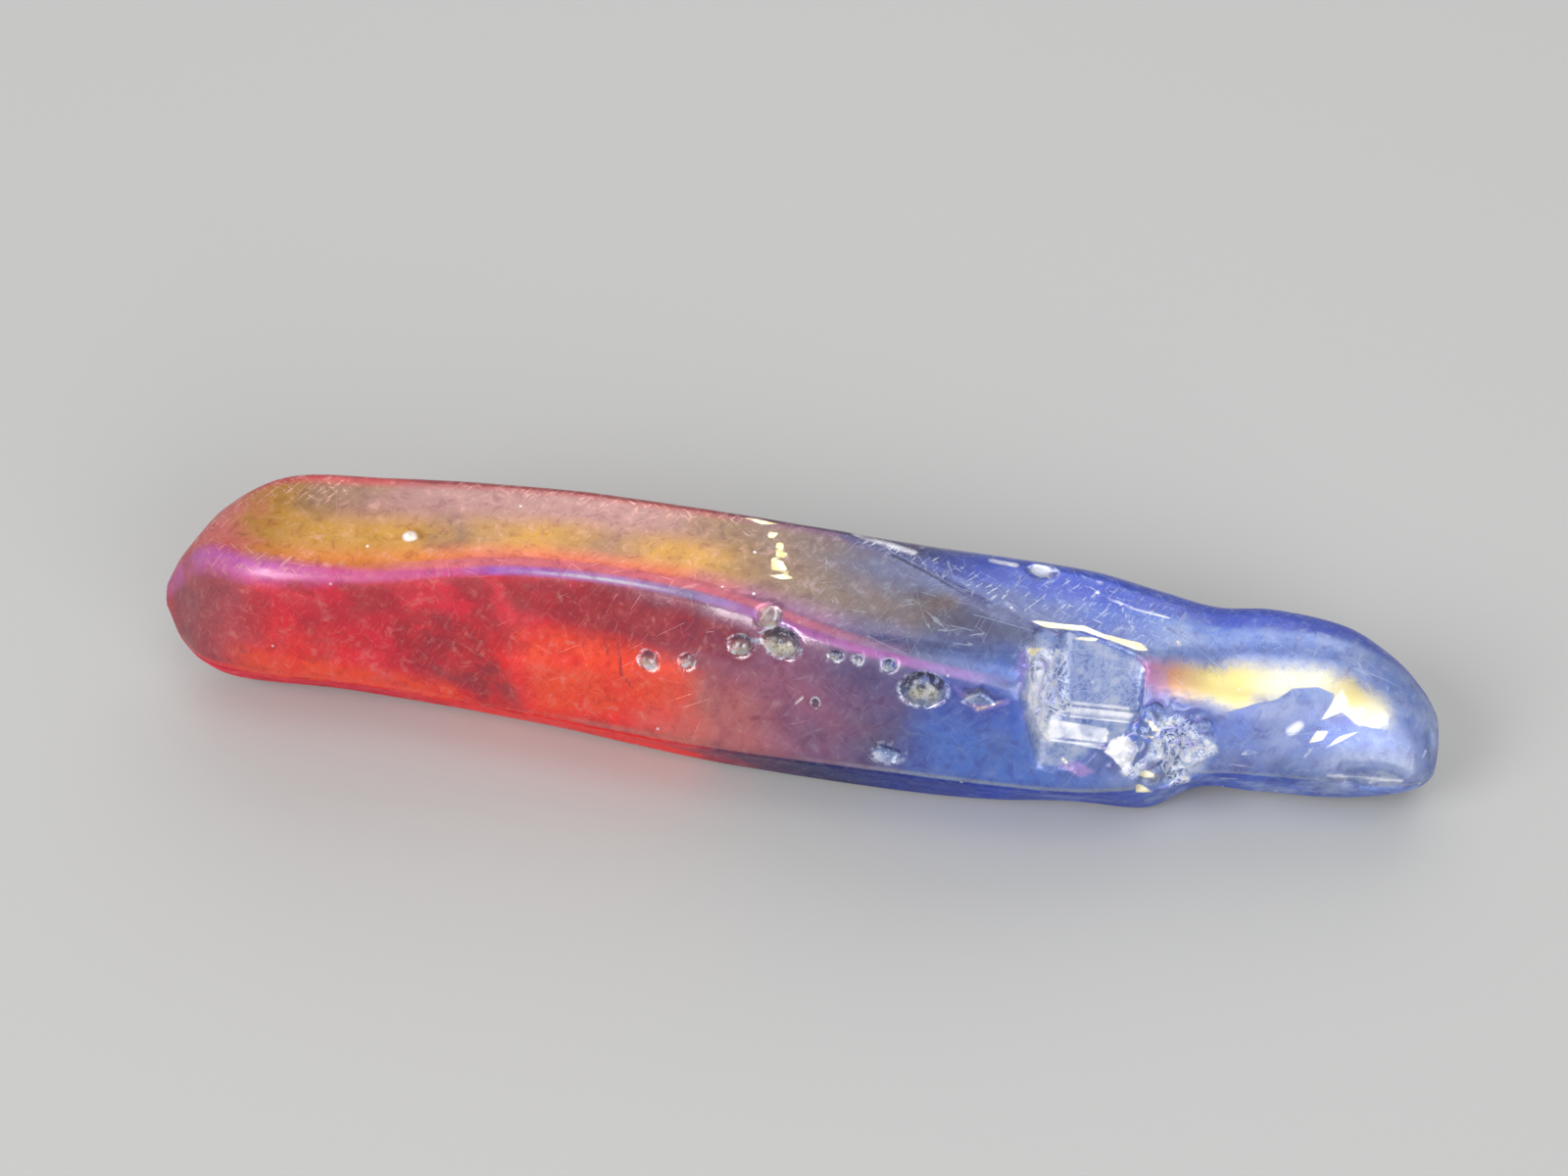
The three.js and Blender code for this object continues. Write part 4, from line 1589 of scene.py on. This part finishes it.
        # painted glow from the glow marks; the wine and ink marks are partly painted shade and partly dark
        # scratches
        for tone, hue in (
            (Tone.GLOW, Hue.FLAME), (Tone.WINE, Hue.WINE), (Tone.BRONZE, Hue.TAUPE), (Tone.INK, Hue.INDIGO),
            (Tone.ORCHID, Hue.LILAC),
        ):
            skin = skin.tint(see.laid(tone), hue)
        haze = see.noise(300, 5, 0.65).rise(0.42, 0.68, 0, 0.5) * see.along.rise(0.58, 0.8, 0.14, 1)
        pale = see.along.ramp((Hue.BLUSH, 0, 45), (Hue.MIST, 60), (Hue.ICE, 100))
        skin = skin.tint(haze * see.girth.rise(0.5, 0.85, 1, 0.15), pale)
        ripples = see.noise(1500, 3, 0.65, 0.6)
        skin = skin.tint(ripples.rise(0.5, 0.3, 0, 0.5), dark)
        return skin.tint(ripples.rise(0.54, 0.74, 0, 0.3), pale)

    def shine(self) -> Wire:
        """Finds how strongly the painted highlight sweeping over the root end shows.

        Returns:
            Its share.
        """
        see = self.see
        shine = see.bench.attribute(Tone.SHINE.value).rise(0, 0.9)
        uneven = see.speck.scaled(1.5, -0.8) * shine.band(0.3, 0.75, 0.25)
        return see.bench.math("ADD", shine, uneven, clamp=True) * see.tone(Tone.DULL, 1, 0)

    def scars(self, skin: Wire) -> Wire:
        """Colours what lies under the lost skin: the socket, the flakes, the pits and the broken ground,
        with painted light and shade on the scars by the way that they look, painted shade inside the pits
        and painted glints on their rims.

        Args:
            skin: the hue so far.

        Returns:
            The hue.
        """
        see = self.see
        # painted light and shade: scar faces that look up take the lit hue, those that look down indigo
        lit = see.at.ramp((Hue.SALMON, 0), (Hue.DUSTY_ROSE, 50), (Hue.STEEL, 58, 100))
        hue = see.bench.blend(see.up.rise(-0.1, 0.5), Hue.INDIGO, lit)
        hue = hue.tint(see.patch.rise(0.5, 0.62, 0, 0.45), Hue.ICE)
        skin = skin.tint(see.lost.rise(0.06, 0.2) * 0.9, hue)
        # the pits: painted shade in their insides, and painted glints on their upturned lips, inside and on
        # their rims
        place = see.pit + see.patch.scaled(0.6, -0.3)
        broken = see.gloom.rise(0.0, 0.3)
        hollow = place.rise(0.7, 0.95, 1, 0) * broken
        skin = skin.tint(hollow * (see.gloom * see.patch.rise(0.4, 0.6, 1, 0.6)), Hue.SHADE_GREY)
        lip = place.band(0.5, 1.0, 0.12) * see.up.rise(0.55, 0.85) * broken
        lip = lip * see.speck.rise(0.4, 0.52, 0.3, 1) * see.gloom.rise(0.6, 0.9, 0.4, 1)
        skin = skin.tint(lip, Hue.CREAM)
        skin = skin.tint(hollow * see.speck.rise(0.53, 0.6, 0, 0.85), Hue.ICE)
        rim = place.band(0.85, 1.2, 0.1) * see.speck.rise(0.47, 0.56)
        return skin.tint(rim * broken, Hue.ICE)

    def crumpled(self) -> Wire:
        """Draws the lace of broken quartz: painted highlights on its ridges and painted shade in its
        creases.

        Returns:
            0 where it is dark to 1 where it is pale.
        """
        fine = abs(self.see.noise(900, 2, 0.6, 1.2) - 0.5)
        finer = abs(self.see.noise(2100, 2, 0.6, 0.8) - 0.5)
        ridges = fine.rise(0.01, 0.07, 1, 0).most(finer.rise(0.01, 0.06, 0.8, 0))
        return ridges * 0.6 + self.see.patch.rise(0.36, 0.62, 0, 0.4)

    def scratches(self) -> Wire:
        """Draws fine scratches in a few directions, in broken lengths.

        Returns:
            1 on a scratch and 0 off it.
        """
        see = self.see
        blue_top = see.way.rise(0.0, 0.8) * see.along.rise(0.5, 0.62)
        lines = []
        for turn, across in self.scratch_lies:
            wave = abs(see.grain(turn, 0.11, across, 1.0, 0) - 0.5)
            broken = blue_top.scaled(0.03, see.grain(turn, 0.5, 1.6, 0.7, 2))
            lines.append(wave.rise(0.0, 0.014, 1, 0) * broken.rise(0.57, 0.66))
        return reduce(Wire.most, lines)

    def fuzz(self) -> Wire:
        """Short hairs that lie across the stone: 1 on a hair and 0 off it."""
        crossed = self.see.grain(-34, 1, 5, 1.0, 2, 0.6).rise(0.6, 0.7)
        return self.see.grain(58, 1, 5, 1.0, 2, 0.6).rise(0.56, 0.68).most(crossed)

    def dust(self) -> Wire:
        """Scatters small pale dots.

        Returns:
            1 on a dot and 0 off it.
        """
        cells = {"Vector": self.see.where, "Scale": self.dust_cells}
        distance = self.see.bench.add("TexVoronoi", cells, "Distance", feature="F1")
        chance = self.see.bench.add("SeparateColor", {0: distance.beside("Color")})
        return distance.rise(0.04, 0.08, 1, 0) * chance.rise(0.62, 0.64)

    def metal(self, shine: Wire) -> Wire:
        """Finds how much of the film shows as metal: most on the golden top, under the belt and on chips.

        Args:
            shine: the painted highlight's share.

        Returns:
            The metal's share.
        """
        see = self.see
        upper = see.girth.rise(0.01, 0.08) * see.along.rise(0.45, 0.65, 0.5, 0.25)
        under = see.girth.rise(-1.02, -1.06, 0, 0.85)
        blue_edge = see.girth.rise(0.78, 0.98, 0, 0.7) * see.along.rise(0.58, 0.68)
        metal = upper.most(0.04).most(under.most(see.tone(Tone.CHIP, 0, 0.6))).most(blue_edge)
        metal = metal * see.lost.rise(0.06, 0.2, 1, 0.1)
        return metal.most(self.painted_crest_highlight() * 0.6).most(shine * 0.3)

    def colour(self, shine: Wire, crumpled: Wire, creased: Wire, scratched: Wire) -> Wire:
        """Lays everything that colours the skin over one another.

        Args:
            shine: the painted highlight's share.
            crumpled: the lace of broken quartz.
            creased: where that lace shows.
            scratched: the scratches.

        Returns:
            The colour.
        """
        see = self.see
        # the painted highlight's hues along the lobe, over the hue so far
        gleam = see.at.ramp(
            (Hue.ORCHID, 76.5), (Hue.PEACH, 79), (Hue.LEMON, 82, 84.5), (Hue.CREAM, 87, 90), (Hue.LEMON, 93),
            (Hue.CREAM, 95.5), (Hue.ICE, 100),
        )
        skin = self.scars(self.depths(self.hues()).tint(shine, gleam))
        # the lace of broken quartz, painted from shade in its creases to highlights on its ridges
        lace = crumpled.ramp(
            (Hue.SHADE_GREY, 0), (Hue.SLATE, 10), (Hue.MIST, 26), (Hue.ICE, 50), (Hue.WHITE, 75), (Hue.CREAM, 100),
        )
        # pale lilac where the skin turns sharply, partly wear and partly a painted highlight on edges
        skin = skin.tint(creased, lace).tint(see.edge.rise(0.25, 0.8, 0, 0.4), Hue.LILAC)
        # white marks, partly frosted streaks and scratches and partly painted glints on ledges and facets
        skin = skin.tint(see.laid(Tone.FROST), Hue.WHITE)
        # chips painted yellow as glints
        yellow = see.bench.blend(see.patch.rise(0.4, 0.6), Hue.LEMON, Hue.CREAM)
        skin = skin.tint(see.laid(Tone.CHIP), yellow)
        pale = see.along.ramp((Hue.BLUSH, 0, 42), (Hue.ICE, 55, 100))
        skin = skin.tint(self.fuzz() * see.tone(Tone.FLECK, 0.1, 0.8), pale)
        skin = skin.tint(scratched * see.way.rise(-0.8, 0.4, 0.14, 0.36), pale)
        return skin.tint(self.dust() * 0.75, Hue.WHITE)

    def roughness(self, scratched: Wire) -> Wire:
        """Adds up what makes the skin less glossy.

        Args:
            scratched: the scratches.

        Returns:
            The roughness.
        """
        see = self.see
        gloss = see.patch.rise(0.3, 0.7, 0.14, 0.26) + scratched * 0.15
        gloss = gloss + see.lost.rise(0.06, 0.2, 0, 0.16) + see.along.rise(0.15, 0.36, 0.16, 0)
        gloss = gloss + see.way.band(-0.9, 0.9, 0.5) * see.along.rise(0.48, 0.56, 0, 0.14)
        return gloss + see.girth.rise(-1.01, -1.06, 0, 0.3) + see.along.rise(0.76, 0.86, 0, 0.1)

    def material(self) -> bpy.types.Material:
        """Makes the coating.

        Returns:
            The material.
        """
        see, bench = self.see, self.see.bench
        shine, crumpled, scratched = self.shine(), self.crumpled(), self.scratches()
        shatter = see.tone(Tone.SHATTER)
        carved = see.lost.rise(0.1, 0.35) * see.pit.rise(0.9, 1.3)
        creased = (shatter * 0.8).most(carved * 0.28)
        white = see.laid(Tone.FROST).most(shatter * 0.6).most(see.laid(Tone.CHIP))
        coat = see.along.rise(0.15, 0.36, 0.06, self.coat) * see.girth.rise(-0.98, -1.06, 1, 0.1)
        relief = see.patch * 0.4 + see.speck * 0.3 - scratched * 0.4 + crumpled * creased * 2.4
        strength, height = self.bump
        shader = bench.add("BsdfPrincipled", {
            "Base Color": self.colour(shine, crumpled, creased, scratched),
            "Metallic": self.metal(shine),
            "Roughness": self.roughness(scratched),
            "IOR": self.ior,
            "Normal": bench.add("Bump", {"Strength": strength, "Distance": height, "Height": relief}),
            "Transmission Weight": white.rise(0, 1, *self.transmission),
            "Coat Weight": coat * see.along.rise(0.74, 0.84, 1, 0.35),
            "Coat Roughness": self.coat_roughness,
        })
        inside = bench.add("VolumeAbsorption", {"Color": self.absorbed, "Density": self.density})
        return bench.finish(Surface=shader, Volume=inside)


@dataclass(frozen=True)
class FloorPaint:
    """A plain pale floor."""

    tone: float = 0.29
    roughness: float = 0.6

    def material(self) -> bpy.types.Material:
        """Makes the paint.

        Returns:
            The material.
        """
        bench = NodeBench("pale_floor")
        tint = (self.tone, self.tone, self.tone * 0.99, 1)
        return bench.finish(
            Surface=bench.add("BsdfPrincipled", {"Base Color": tint, "Roughness": self.roughness}),
        )


# ---------------------------------------------------------------- the studio


@dataclass(frozen=True)
class Softbox:
    """A light that faces the stone: its angles in degrees, its distance and size in metres, its watts."""

    name: str
    azimuth: float
    elevation: float
    distance: float
    width: float
    height: float
    power: float

    def hang(self) -> Piece:
        """Hangs the light. An azimuth of 0 is in front of the stone, and 90 is beyond its root.

        Returns:
            The lamp.
        """
        turn, rise = math.radians(self.azimuth), math.radians(self.elevation)
        place = Vector((math.sin(turn) * math.cos(rise), -math.cos(turn) * math.cos(rise), math.sin(rise)))
        light = bpy.data.lights.new(self.name, "AREA")
        light.shape = "RECTANGLE"
        light.size, light.size_y = self.width, self.height
        light.energy = self.power
        lamp = bpy.data.objects.new(self.name, light)
        lamp.location = place * self.distance
        lamp.rotation_euler = place.to_track_quat("Z", "Y").to_euler()
        bpy.context.scene.collection.objects.link(lamp)
        return lamp


@dataclass(frozen=True)
class Studio:
    """The floor, the lights and the camera."""

    camera_place: Place = (13.2567 * MM, -99.5554 * MM, 115.3999 * MM)
    camera_aim: Place = (-1.77 * MM, 10.87 * MM, 0.0)
    lens: float = 58.5
    sensor: float = 36.0
    nearest: float = 0.01
    floor_side: float = 3.0
    floor_gap: float = 0.03 * MM
    sky: float = 0.76
    lights: tuple[Softbox, ...] = (
        Softbox("back_softbox", 178, 44, 0.5, 0.5, 0.34, 0.8),
        Softbox("overhead_softbox", 60, 76, 0.45, 0.24, 0.24, 0.42),
        Softbox("left_softbox", -47, 36, 0.6, 0.3, 0.3, 3.4),
        Softbox("right_softbox", 38, 24, 0.6, 0.5, 0.36, 2.9),
    )

    def lay_floor(self) -> Piece:
        """Lays the floor a hair under the stone, so that light can leave the resting face.

        Returns:
            The floor.
        """
        bpy.ops.object.select_all(action="DESELECT")
        bpy.ops.mesh.primitive_plane_add(size=self.floor_side, location=(0, 0, -self.floor_gap))
        floor = newest("floor")
        settle(floor)
        floor.data.materials.append(FloorPaint().material())
        return floor

    def set_camera(self) -> Piece:
        """Places the camera and makes it the scene's.

        Returns:
            The camera.
        """
        lens = bpy.data.cameras.new("camera")
        lens.lens = self.lens
        lens.sensor_width = self.sensor
        lens.sensor_fit = "HORIZONTAL"
        lens.clip_start = self.nearest
        lens.dof.use_dof = False
        camera = bpy.data.objects.new("camera", lens)
        camera.location = self.camera_place
        back = Vector(self.camera_place) - Vector(self.camera_aim)
        camera.rotation_euler = back.to_track_quat("Z", "Y").to_euler()
        bpy.context.scene.collection.objects.link(camera)
        bpy.context.scene.camera = camera
        return camera

    def set_sky(self) -> None:
        """Gives the room an even pale light."""
        world = bpy.data.worlds.new("studio")
        world.use_nodes = True
        background = world.node_tree.nodes["Background"]
        background.inputs["Color"].default_value = (1, 1, 1, 1)
        background.inputs["Strength"].default_value = self.sky
        bpy.context.scene.world = world
        bpy.context.scene.view_settings.view_transform = "Standard"

    def build(self) -> None:
        """Sets up all of it."""
        self.lay_floor()
        self.set_camera()
        self.set_sky()
        for light in self.lights:
            light.hang()


def main() -> None:
    """Builds the stone and the studio."""
    logging.basicConfig(level=logging.INFO, format="%(message)s")
    cage = Cage.around(NODE)
    stone = QuartzPoint(cage).build()
    stone.data.materials.clear()
    stone.data.materials.append(AuraCoating(cage.length).material())
    log.info("%s: %d faces", stone.name, len(stone.data.polygons))
    Studio().build()
    log.info("studio: floor, camera and lights")


if __name__ == "__main__":
    main()
